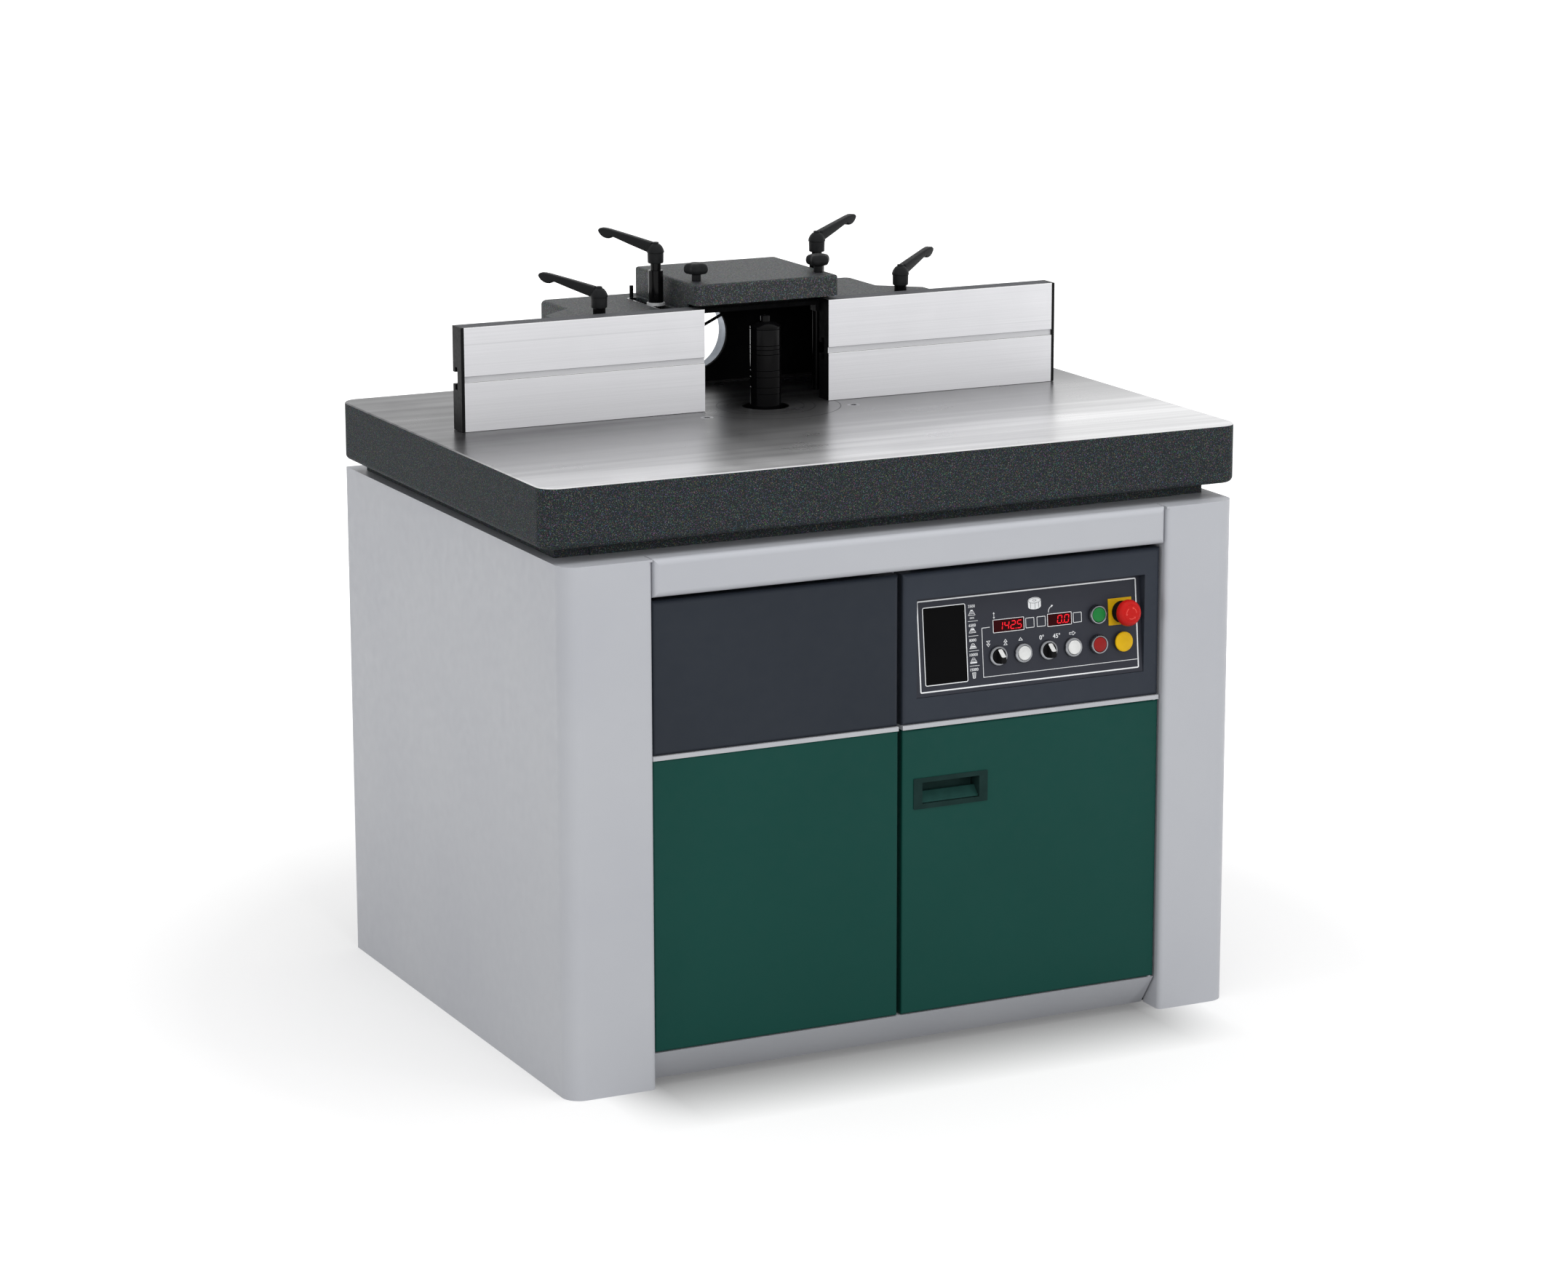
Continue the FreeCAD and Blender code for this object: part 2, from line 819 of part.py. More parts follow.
def table():
    half = s.table_width / 2
    y = (table_y - s.table_depth / 2, table_y + s.table_depth / 2)
    bottom = s.table_top - s.table_rim_depth
    blank = prism("table_blank", "z", rectangle((-half, half), y), bottom, s.table_top)
    corners = rectangle((-half, half), y)
    rounded(blank, s.table_corner_radius, along("z", *corners))
    bevelled(blank, s.table_edge_bevel, at_level("z", s.table_top))
    rounded(blank, s.table_low_radius, at_level("z", bottom))
    underside = box(
        "table_underside",
        (-half + s.table_rim_wall, half - s.table_rim_wall),
        (y[0] + s.table_rim_wall, y[1] - s.table_rim_wall),
        (bottom - s.overrun, plate_bottom))
    seat_level = s.table_top - s.ring_thickness
    centre = (as_size(0), spindle_y)
    opening = cylinder("ring_recess", "z", (*centre, seat_level), s.opening_radius, s.ring_thickness)
    seat = s.opening_radius - s.ring_ledge
    through = cylinder("ring_seat", "z", (*centre, plate_bottom - s.overrun), seat, s.table_plate)
    bush_holes = []
    bushes = []
    for side, sign in SIDES:
        spot = (sign * s.bush_spacing / 2, spindle_y - s.bush_ahead)
        start = (*spot, plate_bottom - s.overrun)
        deep = s.table_plate + s.overrun * 2
        bush_holes.append(cylinder("bush_hole", "z", start, s.bush_radius, deep))
        outside = s.bush_radius - s.shaft_clearance
        bushes.append(ring(side + "_bush", "z", (*spot, plate_bottom), outside, s.bush_bore, s.table_plate))
    node("machine_table", cut("machine_table", blank, underside, opening, through, *bush_holes))
    node("table_bushes", group("table_bushes", *bushes))

    plinth_y = (cabinet_front + s.plinth_set_back, cabinet_back - s.plinth_rear_gap)
    plinth_half = s.table_width / 2 - s.plinth_side_gap
    plinth_x = (-plinth_half, plinth_half)
    plinth_z = (cabinet_top, plate_bottom)
    outer = box("plinth_outer", plinth_x, plinth_y, plinth_z)
    inner = box(
        "plinth_inner",
        (plinth_x[0] + s.plinth_wall, plinth_x[1] - s.plinth_wall),
        (plinth_y[0] + s.plinth_wall, plinth_y[1] - s.plinth_wall),
        (cabinet_top - s.overrun, plate_bottom + s.overrun))
    frame = cut("plinth_frame", outer, inner)
    strip = box(
        "plinth_strip",
        (s.plinth_strip_inset - plinth_half, plinth_half - s.plinth_strip_inset),
        (plinth_y[0] - s.sheet, plinth_y[0]),
        (cabinet_top, cabinet_top + s.plinth_strip_height))
    node("table_plinth", group("table_plinth", frame, strip))

    joint = s.running_gap
    floor = -s.ring_thickness
    step = floor / 2
    lips = (s.outer_ring_bore, s.middle_ring_bore)
    rings = []
    outside = s.opening_radius - joint
    under = outside
    for i, bore in enumerate(lips):
        below = bore - s.ring_step
        profile = [(bore, 0), (outside, 0), (outside, step), (under, step), (under, floor), (below, floor)]
        profile += [(below, step), (bore, step)]
        if i == 0:
            profile = [point for k, point in enumerate(profile) if k not in (2, 3)]
        rings.append(turned(f"table_ring_{i}", profile, (*centre, s.table_top)))
        outside = bore - joint
        under = below - joint
    hole = s.spindle_hole_radius
    flare = hole + s.ring_thickness - s.hole_land
    profile = [(hole, 0), (outside, 0), (outside, step), (under, step), (under, floor), (flare, floor)]
    rings.append(turned("table_ring_hole", profile + [(hole, -s.hole_land)], (*centre, s.table_top)))
    node("table_rings", group("table_rings", *rings))


# Cradles under the table, and the tilting frame that swings in them

def tilting_unit():
    inner_x = s.cradle_inner_x
    outer_x = inner_x + s.cradle_thickness
    pinion_drop = s.segment_pitch_radius + s.pinion_pitch_radius
    pinion_y, pinion_z = from_spindle(0, -pinion_drop)
    cradle_y = (spindle_y - s.cradle_reach, spindle_y + s.cradle_reach)
    half_turn = as_size(-90)
    groove_ends = (half_turn - s.groove_half_angle, half_turn + s.groove_half_angle)
    cradle_z = (s.table_top - s.cradle_reach, plate_bottom)
    plate = box("cradle_plate", (inner_x, outer_x), cradle_y, cradle_z)
    groove = sector(
        "cradle_groove", s.groove_outer, s.groove_inner, *groove_ends,
        (inner_x - s.overrun, inner_x + s.groove_depth))
    left = cut("cradle", plate, groove)
    ear = box(
        "cradle_ear",
        (inner_x, outer_x),
        (spindle_y - s.ear_half_width, spindle_y + s.ear_half_width),
        (s.table_top - s.ear_drop, s.table_top - s.groove_outer))
    bore_radius = s.pinion_shaft_radius + s.shaft_clearance
    bore = cylinder("ear_bore", "x", (inner_x, pinion_y, pinion_z), bore_radius, s.cradle_thickness)
    right_plate = fuse("right_cradle_plate", plate, ear)
    right = cut("right_cradle", right_plate, groove, bore)
    node("trunnion_cradles", group("cradles", mirrored("left_cradle", left), right))

    casing = box(
        "gearmotor_casing",
        (outer_x, outer_x + s.ear_half_width),
        (spindle_y - s.ear_half_width, spindle_y + s.ear_half_width),
        (s.table_top - s.ear_drop, pinion_z + s.ear_half_width))
    can_start = (outer_x + s.ear_half_width, pinion_y, pinion_z)
    can = cylinder("gearmotor_can", "x", can_start, s.gearmotor_radius, s.gearmotor_length)
    socket_start = (outer_x, pinion_y, pinion_z)
    socket = cylinder("gearmotor_socket", "x", socket_start, bore_radius, s.cradle_thickness)
    node("tilt_gearmotor", cut("tilt_gearmotor", fuse("gearmotor_body", casing, can), socket))

    gear_x = inner_x - s.side_plate_thickness / 2 - s.gear_width / 2
    wheel = toothed("pinion_wheel", s.pinion_pitch_radius, s.gear_width, 360, PINION_TEETH)
    quarter = FreeCAD.Rotation(Z_AXIS, 90)
    place(wheel, (gear_x, pinion_y, pinion_z), CYCLE.multiply(quarter))
    axle_start = (gear_x + s.gear_width, pinion_y, pinion_z)
    axle_length = outer_x + s.cradle_thickness - s.overrun - gear_x - s.gear_width
    axle = cylinder("pinion_axle", "x", axle_start, s.pinion_shaft_radius, axle_length)
    node("tilt_pinion", fuse("tilt_pinion", wheel, axle))

    side_outer = inner_x - s.running_gap
    side_inner = side_outer - s.side_plate_thickness
    side_x = (side_inner, side_outer)
    ring_part = sector(
        "side_plate", s.side_plate_outer, s.side_plate_inner, s.rib_start_angle, s.rib_end_angle, side_x)
    rib = sector(
        "side_rib", s.groove_outer - s.running_gap, s.groove_inner + s.running_gap,
        s.rib_start_angle, s.rib_end_angle, (side_outer, inner_x + s.groove_depth - s.running_gap))
    right_side = fuse("right_side", ring_part, rib)
    tooth_turn = s.gear_module * 360 / s.segment_pitch_radius / 2
    first_tooth = -90 + tooth_turn.number / 2 - tooth_turn.number * TEETH_BEFORE
    segment_span = tooth_turn.number * (SEGMENT_TEETH - 1)
    rim = toothed("segment_wheel", s.segment_pitch_radius, s.gear_width, segment_span, SEGMENT_TEETH)
    spin = CYCLE.multiply(FreeCAD.Rotation(Z_AXIS, first_tooth))
    place(rim, (gear_x, spindle_y, s.table_top), spin)
    segment_end = s.segment_start_angle + tooth_turn * SEGMENT_TEETH
    tip_radius = s.segment_pitch_radius + s.gear_module * 2
    wedge = sector(
        "segment_wedge", tip_radius, s.groove_inner, s.segment_start_angle, segment_end,
        (gear_x, gear_x + s.gear_width))
    segment = doc.addObject("Part::Common", "tilt_segment")
    segment.Base = rim
    segment.Tool = wedge

    bar_y, bar_z = from_spindle(s.frame_bar_front, -s.frame_bar_top)
    bar = box(
        "frame_bar", (-side_inner, side_inner),
        (bar_y, bar_y + s.frame_bar_depth), (bar_z - s.frame_bar_thickness, bar_z))
    foot_z = s.table_top - s.foot_plate_drop
    foot = box(
        "foot_plate", (-s.foot_plate_half, s.foot_plate_half),
        (bar_y, bar_y + s.frame_bar_depth), (foot_z - s.foot_plate_thickness, foot_z))
    column_y = spindle_y + s.column_y
    columns = []
    for side, sign in SIDES:
        start = (sign * s.column_x, column_y, foot_z)
        columns.append(cylinder(side + "_column", "z", start, s.column_radius, bar_z - foot_z))
    screw_bore = s.screw_radius + s.shaft_clearance
    motor_bottom = foot_z - s.foot_plate_thickness - s.lift_motor_height
    screw_start = (as_size(0), column_y, motor_bottom + s.foot_plate_thickness)
    bore_start = (as_size(0), column_y, motor_bottom)
    screw_hole = cylinder("screw_hole", "z", bore_start, screw_bore, bar_z + s.overrun - motor_bottom)
    frame = fuse("frame_fused", right_side, mirrored("left_side", right_side), segment, bar, foot, *columns)
    node("lift_screw", cylinder("lift_screw", "z", screw_start, s.screw_radius, bar_z - screw_start[2]))
    lift = cylinder("lift_motor_can", "z", bore_start, s.lift_motor_radius, s.lift_motor_height)
    lift_hole = cylinder("lift_motor_hole", "z", screw_start, screw_bore, s.lift_motor_height)
    gearmotor = cut("lift_gearmotor", lift, lift_hole)
    node("tilt_frame", group("tilt_frame", cut("frame_drilled", frame, screw_hole), gearmotor))


# The rising carriage with the quill, the motor and the belt

def spindle_unit():
    zero = as_size(0)
    top = s.table_top
    bottom_z = top - s.carriage_bottom
    quill_start = (zero, spindle_y, bottom_z)
    quill = cylinder("quill", "z", quill_start, s.quill_radius, s.carriage_bottom - s.quill_top)
    block = box(
        "carriage_block",
        (-s.carriage_half, s.carriage_half),
        (spindle_y + s.carriage_front, spindle_y + s.carriage_back),
        (bottom_z, top - s.carriage_top))
    web = box(
        "carriage_web",
        (-s.carriage_web_half, s.carriage_web_half),
        (spindle_y, spindle_y + s.carriage_front + s.overrun),
        (bottom_z, top - s.carriage_top))
    motor_y = spindle_y + s.motor_back
    shelf = box(
        "motor_shelf",
        (-s.motor_plate_half, s.motor_plate_half),
        (spindle_y + s.carriage_back - s.overrun, motor_y + s.motor_radius),
        (bottom_z, bottom_z + s.motor_plate))
    column_bore = s.column_radius + s.shaft_clearance
    holes = []
    for side, sign in SIDES:
        start = (sign * s.column_x, spindle_y + s.column_y, bottom_z - s.overrun)
        holes.append(cylinder(side + "_column_hole", "z", start, column_bore, s.carriage_bottom))
    nut_start = (zero, spindle_y + s.column_y, bottom_z - s.overrun)
    screw_bore = s.screw_radius + s.shaft_clearance
    holes.append(cylinder("nut_hole", "z", nut_start, screw_bore, s.carriage_bottom))
    bearing_bore = s.bearing_radius + s.shaft_clearance
    holes.append(cylinder("quill_hole", "z", (zero, spindle_y, bottom_z - s.overrun), bearing_bore, top))
    shaft_hole = s.motor_shaft_radius + s.running_gap
    shaft_start = (zero, motor_y, bottom_z - s.overrun)
    holes.append(cylinder("shaft_hole", "z", shaft_start, shaft_hole, s.carriage_bottom))
    casting = fuse("carriage_fused", quill, block, web, shelf)
    node("spindle_carriage", cut("spindle_carriage", casting, *holes))

    journal_bore = s.journal_radius + s.shaft_clearance
    quill_top = top - s.quill_top
    low = bottom_z + s.bearing_inset
    high = quill_top - s.bearing_inset - s.bearing_width
    bearings = []
    for z in (low, high):
        start = (zero, spindle_y, z)
        bearings.append(ring("bearing", "z", start, s.bearing_radius, journal_bore, s.bearing_width))
    node("spindle_bearings", group("spindle_bearings", *bearings))

    can_bottom = bottom_z + s.motor_plate
    can = cylinder("motor_can", "z", (zero, motor_y, can_bottom), s.motor_radius, s.motor_height)
    half_box = s.terminal_box / 2
    terminal = box(
        "terminal_box", (-half_box, half_box),
        (motor_y + s.motor_radius - half_box, motor_y + s.motor_radius + half_box / 2),
        (can_bottom + half_box, can_bottom + half_box + s.terminal_box))
    shaft_length = s.motor_height / 2
    shaft_bore = s.motor_shaft_radius + s.shaft_clearance
    socket = cylinder("motor_socket", "z", (zero, motor_y, can_bottom), shaft_bore, shaft_length)
    node("drive_motor", cut("drive_motor", fuse("motor_fused", can, terminal), socket))

    pulley_top = top - s.pulley_top
    steps = len(SPEED_SHARES)
    pulley_bottom = pulley_top - s.pulley_step * steps
    small = []
    large = []
    for i, share in enumerate(SPEED_SHARES):
        z = pulley_top - s.pulley_step * (i + 1)
        driven = s.pulley_pair_sum / (1 + share)
        small.append(cylinder("driven_step", "z", (zero, spindle_y, z), driven, s.pulley_step))
        driver = s.pulley_pair_sum - driven
        large.append(cylinder("driver_step", "z", (zero, motor_y, z), driver, s.pulley_step))
    bore_start = (zero, spindle_y, pulley_bottom - s.overrun)
    bore_length = s.pulley_step * steps + s.overrun * 2
    pulley_bore = s.pulley_shaft_radius + s.shaft_clearance
    small_bore = cylinder("driven_bore", "z", bore_start, pulley_bore, bore_length)
    node("spindle_pulley", cut("spindle_pulley", fuse("driven_steps", *small), small_bore))
    shaft_start = (zero, motor_y, pulley_bottom)
    reach = can_bottom + shaft_length - s.overrun - pulley_bottom
    rotor = cylinder("motor_shaft", "z", shaft_start, s.motor_shaft_radius, reach)
    node("motor_pulley", fuse("motor_pulley", rotor, *large))

    belt_step = SPEED_SHARES.index(BELT_SHARE)
    step_z = pulley_top - s.pulley_step * (belt_step + 1)
    belt_z = step_z + (s.pulley_step - s.belt_width) / 2
    driven = s.pulley_pair_sum / (1 + BELT_SHARE)
    driver = s.pulley_pair_sum - driven
    inner = belt_loop(driven + s.running_gap, driver + s.running_gap)
    outer = belt_loop(driven + s.running_gap + s.belt_thickness, driver + s.running_gap + s.belt_thickness)
    belt = doc.addObject("Part::Feature", "drive_belt")
    belt.Shape = outer.cut(inner).extrude(Z_AXIS * s.belt_width.number)
    place(belt, (zero, spindle_y, belt_z))
    node("drive_belt", belt)

    flange_z = -s.quill_top + s.overrun
    foot_z = -s.pulley_top - s.pulley_step * steps
    journal_z = -s.carriage_bottom - s.overrun
    stack_top = s.spindle_flange_top + STACK_SUM
    profile = [
        (0, foot_z),
        (s.pulley_shaft_radius, foot_z),
        (s.pulley_shaft_radius, journal_z),
        (s.journal_radius, journal_z),
        (s.journal_radius, flange_z),
        (s.stack_radius, flange_z),
        (s.stack_radius, s.spindle_flange_top),
        (s.arbor_radius, s.spindle_flange_top),
        (s.arbor_radius, stack_top),
        (0, stack_top),
    ]
    axis_base = (zero, spindle_y, top)
    node("spindle_shaft", turned("spindle_shaft", profile, axis_base))
    rings = []
    z = s.spindle_flange_top
    bore = s.arbor_radius + s.shaft_clearance
    for height in reversed(STACK):
        out = s.stack_radius
        edge = s.stack_bevel
        profile = [
            (bore, z), (out - edge, z), (out, z + edge),
            (out, z + height - edge), (out - edge, z + height), (bore, z + height)]
        rings.append(turned("spacer_ring", profile, axis_base))
        z = z + height
    node("spacer_rings", group("spacer_rings", *rings))
    cap_top = stack_top + s.cap_height
    screw_top = cap_top + s.cap_screw_height
    profile = [
        (0, stack_top),
        (s.stack_radius, stack_top),
        (s.stack_radius, cap_top - s.cap_bevel),
        (s.stack_radius - s.cap_bevel, cap_top),
        (s.cap_screw_radius, cap_top),
        (s.cap_screw_radius, screw_top),
        (s.cap_screw_socket, screw_top),
        (s.cap_screw_socket, cap_top),
        (0, cap_top),
    ]
    node("spindle_cap", turned("spindle_cap", profile, axis_base))


def belt_loop(driven, driver):
    """The face inside a flat belt that runs round two pulleys on the Y axis."""
    reach = s.motor_back.number
    lean = math.asin((driver.number - driven.number) / reach)
    wires = []
    ends = []
    for y, radius, facing in ((0, driven.number, -1), (reach, driver.number, 1)):
        across = radius * math.cos(lean)
        up = -radius * math.sin(lean)
        start = FreeCAD.Vector(-across, y + up, 0)
        finish = FreeCAD.Vector(across, y + up, 0)
        crown = FreeCAD.Vector(0, y + facing * radius, 0)
        wires.append(Part.Arc(start, crown, finish).toShape())
        ends.append((start, finish))
    sides = [Part.LineSegment(a, b).toShape() for a, b in zip(*ends)]
    return Part.Face(Part.Wire([wires[0], sides[1], wires[1], sides[0]]))


# The fence: hood, port, clamps, plates, cover and posts

def fence():
    zero = as_size(0)
    wall = s.hood_wall
    rear = spindle_y + s.hood_rear
    shoulder = spindle_y + s.hood_shoulder
    neck = shoulder + s.hood_chamfer_y
    roof = hood_roof
    wide = s.hood_front_half
    slim = s.hood_rear_half
    middle = s.hood_centre_x
    half_plan = [(wide, hood_front), (wide, shoulder), (slim, neck), (slim, rear)]
    plan = [(middle + x, y) for x, y in half_plan]
    plan += [(middle - x, y) for x, y in reversed(half_plan)]
    blank = prism("hood_blank", "z", plan, fence_bottom, hood_top)
    rounded(blank, s.hood_corner_radius, along("z", (middle + slim, rear), (middle - slim, rear)))
    top_edge = at_level("z", hood_top)
    front_edge = at_level("y", hood_front)
    rounded(blank, s.hood_edge_radius, lambda edge: top_edge(edge) and not front_edge(edge))
    half_inside = [
        (wide - wall, hood_front - s.overrun),
        (wide - wall, shoulder - wall / 2),
        (slim - wall, neck - wall / 2),
        (slim - wall, rear - wall),
    ]
    inside = [(middle + x, y) for x, y in half_inside]
    inside += [(middle - x, y) for x, y in reversed(half_inside)]
    hollow = prism("hood_hollow", "z", inside, fence_bottom - s.overrun, roof)
    cover_x = (s.cover_centre_x - s.cover_half, s.cover_centre_x + s.cover_half)
    hatch_front = spindle_y + s.star_y + s.hatch_behind_star
    hatch = box(
        "hood_hatch", (cover_x[0] + s.cover_hole_margin, cover_x[1] - s.cover_hole_margin),
        (hatch_front, spindle_y + s.cover_rear - s.cover_hole_margin),
        (roof - s.overrun, hood_top + s.overrun))
    port_z = s.table_top + s.port_height
    port_x = s.port_centre_x
    port_bore = s.port_radius - s.port_wall
    mouth_start = (port_x, rear - wall * 2, port_z)
    port_hole = cylinder("hood_port_hole", "y", mouth_start, s.port_mouth_radius, wall * 3)
    tools = [hollow, hatch, port_hole]
    slot_radius = s.post_stud_radius + s.overrun
    stud_radius = s.lever_stud_radius + s.running_gap
    for side, sign in SIDES:
        spots = (spindle_y + s.post_y - s.post_slot_ahead, spindle_y + s.post_y + s.post_slot_behind)
        x = sign * s.post_x
        for y in spots:
            tools.append(cylinder("slot_end", "z", (x, y, roof - s.overrun), slot_radius, wall * 2))
        slot_x = (x - slot_radius, x + slot_radius)
        tools.append(box("slot", slot_x, spots, (roof - s.overrun, hood_top + wall)))
        spot = (sign * s.clamp_x, spindle_y + s.clamp_y, roof - s.overrun)
        tools.append(cylinder("clamp_hole", "z", spot, stud_radius, wall * 2))
        spot = (s.star_centre_x + sign * s.star_x, spindle_y + s.star_y, roof - s.overrun)
        tools.append(cylinder("star_hole", "z", spot, s.star_bolt_radius + s.running_gap, wall * 2))
    node("fence_hood", cut("fence_hood", blank, *tools))

    port_start = (port_x, rear, port_z)
    flange_radius = s.port_radius + s.port_flange
    flange = cylinder("port_flange", "y", port_start, flange_radius, s.port_flange_thickness)
    tube = cylinder("port_tube", "y", port_start, s.port_radius, s.port_length)
    bore_start = (port_x, rear - s.overrun, port_z)
    bore = cylinder("port_bore", "y", bore_start, port_bore, s.port_length + s.overrun * 2)
    node("extraction_port", cut("extraction_port", fuse("port_fused", flange, tube), bore))

    fittings = []
    bar = doc.addObject("Part::Cylinder", "guard_bar")
    bind(bar, "Radius", s.guard_bar_radius)
    bar_reach = s.port_mouth_radius + wall
    bind(bar, "Height", bar_reach * 2)
    lean = FreeCAD.Rotation(Y_AXIS, 90 - s.guard_bar_angle.number)
    bar_x = port_x - bar_reach * cosine(s.guard_bar_angle)
    bar_y = rear - wall - s.guard_bar_radius
    bar_z = port_z + s.guard_bar_above - bar_reach * sine(s.guard_bar_angle)
    place(bar, (bar_x, bar_y, bar_z), lean)
    fittings.append(bar)
    peg_spot = (-s.post_x, spindle_y + s.post_y + s.post_slot_behind + slot_radius + s.peg_radius * 2)
    fittings.append(cylinder("peg", "z", (*peg_spot, hood_top), s.peg_radius, s.peg_height))
    slot_z = fence_bottom + s.fence_height / 2
    gap = s.running_gap
    neck_front = fence_back - s.slot_neck_depth
    head_front = neck_front - s.slot_head_depth + gap
    for side, sign in SIDES:
        x = (sign * s.clamp_x - s.clamp_half, sign * s.clamp_x + s.clamp_half)
        head_z = (slot_z - s.slot_head / 2 + gap, slot_z + s.slot_head / 2 - gap)
        neck_z = (slot_z - s.slot_neck / 2 + gap, slot_z + s.slot_neck / 2 - gap)
        back = spindle_y + s.clamp_y + s.clamp_half
        head = box("clamp_head", x, (head_front, neck_front - gap), head_z)
        stem = box("clamp_neck", x, (neck_front - gap, hood_front), neck_z)
        arm = box("clamp_arm", x, (hood_front, back), (neck_z[0], roof))
        drill_start = (sign * s.clamp_x, spindle_y + s.clamp_y, neck_z[0])
        drill = cylinder("clamp_drill", "z", drill_start, stud_radius, s.fence_height)
        fittings.append(cut(side + "_clamp", fuse(side + "_clamp_block", head, stem, arm), drill))
        star_spot = (s.star_centre_x + sign * s.star_x, spindle_y + s.star_y)
        half = s.star_nut_half
        x = (star_spot[0] - half, star_spot[0] + half)
        y = (star_spot[1] - half, star_spot[1] + half)
        nut = box("cover_nut_block", x, y, (roof - s.star_nut_depth, roof))
        thread = s.star_bolt_radius + s.shaft_clearance
        drill_start = (*star_spot, roof - s.star_nut_depth - s.overrun)
        drill = cylinder("cover_nut_drill", "z", drill_start, thread, s.star_nut_depth + s.overrun * 2)
        fittings.append(cut(side + "_cover_nut", nut, drill))
    node("hood_fittings", group("hood_fittings", *fittings))

    inner_end = s.fence_gap / 2
    outer_end = inner_end + s.fence_length
    joint = outer_end - s.fence_cap
    z = (fence_bottom, fence_bottom + s.fence_height)
    bar = box("fence_bar", (inner_end, joint), (fence_face, fence_back), z)
    whole = (inner_end - s.overrun, outer_end + s.overrun)
    groove_z = (slot_z - s.face_groove / 2, slot_z + s.face_groove / 2)
    groove = box("face_groove", whole, (fence_face - s.overrun, fence_face + s.face_groove_depth), groove_z)
    neck_z = (slot_z - s.slot_neck / 2, slot_z + s.slot_neck / 2)
    head_z = (slot_z - s.slot_head / 2, slot_z + s.slot_head / 2)
    neck_cut = box("slot_neck", whole, (neck_front - s.overrun, fence_back + s.overrun), neck_z)
    head_cut = box("slot_head", whole, (neck_front - s.slot_head_depth, neck_front), head_z)
    plate = cut("right_fence", bar, groove, neck_cut, head_cut)
    node("right_fence_plate", plate)
    node("left_fence_plate", mirrored("left_fence", plate))
    end = box("fence_end", (joint, outer_end), (fence_face, fence_back), z)
    cap = cut("right_fence_end", end, neck_cut, head_cut)
    node("right_fence_cap", cap)
    node("left_fence_cap", mirrored("left_fence_end", cap))

    lid_front = fence_face + s.cover_set_back
    lid_rear = spindle_y + s.cover_rear
    lid_bottom = hood_top + s.running_gap
    lid_plan = rectangle(cover_x, (lid_front, lid_rear))
    lid = prism("cover_blank", "z", lid_plan, lid_bottom, cover_top)
    rounded(lid, s.cover_corner_radius, along("z", *lid_plan))
    rounded(lid, s.cover_edge_radius, at_level("z", cover_top))
    skin = s.cover_wall
    under = box(
        "cover_under", (cover_x[0] + skin, cover_x[1] - skin),
        (lid_front + skin, lid_rear - skin), (lid_bottom - s.overrun, cover_top - skin))
    mouth = box(
        "cover_mouth", (cover_x[0] - s.overrun, cover_x[1] + s.overrun),
        (lid_front - s.overrun, hood_front + s.running_gap),
        (lid_bottom - s.overrun, hood_top + s.cover_front_gap))
    drills = []
    for side, sign in SIDES:
        spot = (s.star_centre_x + sign * s.star_x, spindle_y + s.star_y, cover_top - skin * 2)
        drills.append(cylinder("cover_drill", "z", spot, s.star_bolt_radius + gap, skin * 3))
    node("hood_cover", cut("hood_cover", lid, under, mouth, *drills))

    posts = []
    for side, sign in SIDES:
        spot = (sign * s.post_x, spindle_y + s.post_y)
        seat = hood_top + s.running_gap
        stud_length = lever_post_z - gap - s.table_top
        stud = cylinder("stud", "z", (*spot, s.table_top), s.post_stud_radius, stud_length)
        washer = cylinder("washer", "z", (*spot, seat), s.post_washer_radius, s.post_washer)
        sleeve_length = hood_top + s.post_sleeve_above - seat
        sleeve = cylinder("sleeve", "z", (*spot, seat), s.post_sleeve_radius, sleeve_length)
        posts.append(fuse(side + "_post", stud, washer, sleeve))
    node("clamp_posts", group("clamp_posts", *posts))


# Clamping levers and star knobs

def lever(name, x, y, base, turn, drop):
    """A cranked clamping lever on a hub, its arm along +X and turned about the hub, with a stud below."""
    zero = as_size(0)
    hub = cylinder(name + "_hub", "z", (zero, zero, zero), s.lever_hub_radius, s.lever_hub_height)
    dome_top = s.lever_hub_height + s.lever_dome_height
    crown = s.lever_hub_radius - s.lever_dome_height * s.lever_dome_share
    dome_start = (zero, zero, s.lever_hub_height)
    dome = cone(name + "_dome", "z", dome_start, s.lever_hub_radius, crown, s.lever_dome_height)
    screw_start = (zero, zero, dome_top)
    screw = cylinder(name + "_screw", "z", screw_start, s.lever_screw_radius, s.lever_screw_height)
    neck = s.lever_neck_reach
    hook_low = s.lever_neck_low - s.lever_hook_drop
    tip = s.lever_length
    profile = [
        (0, s.lever_root_low),
        (neck, s.lever_neck_low),
        (neck + s.lever_hook_drop, hook_low),
        (neck + s.lever_hook_run, hook_low),
        (tip - s.lever_nose_drop, s.lever_nose_low),
        (tip, s.lever_tip_high - s.lever_nose_drop),
        (tip - s.lever_nose_drop, s.lever_tip_high),
        (tip - s.lever_tip_run, s.lever_tip_high),
        (0, s.lever_root_high),
    ]
    half = s.lever_width / 2
    arm = prism(name + "_arm", "y", profile, -half, half)
    rounded(arm, s.lever_edge_radius, top_of_arm)
    solids = [hub, dome, screw, arm]
    if drop is not None:
        solids.append(cylinder(name + "_stud", "z", (zero, zero, -drop), s.lever_stud_radius, drop))
    result = fuse(name, *solids)
    place(result, (x, y, base), FreeCAD.Rotation(Z_AXIS, turn.number))
    node(name, result)


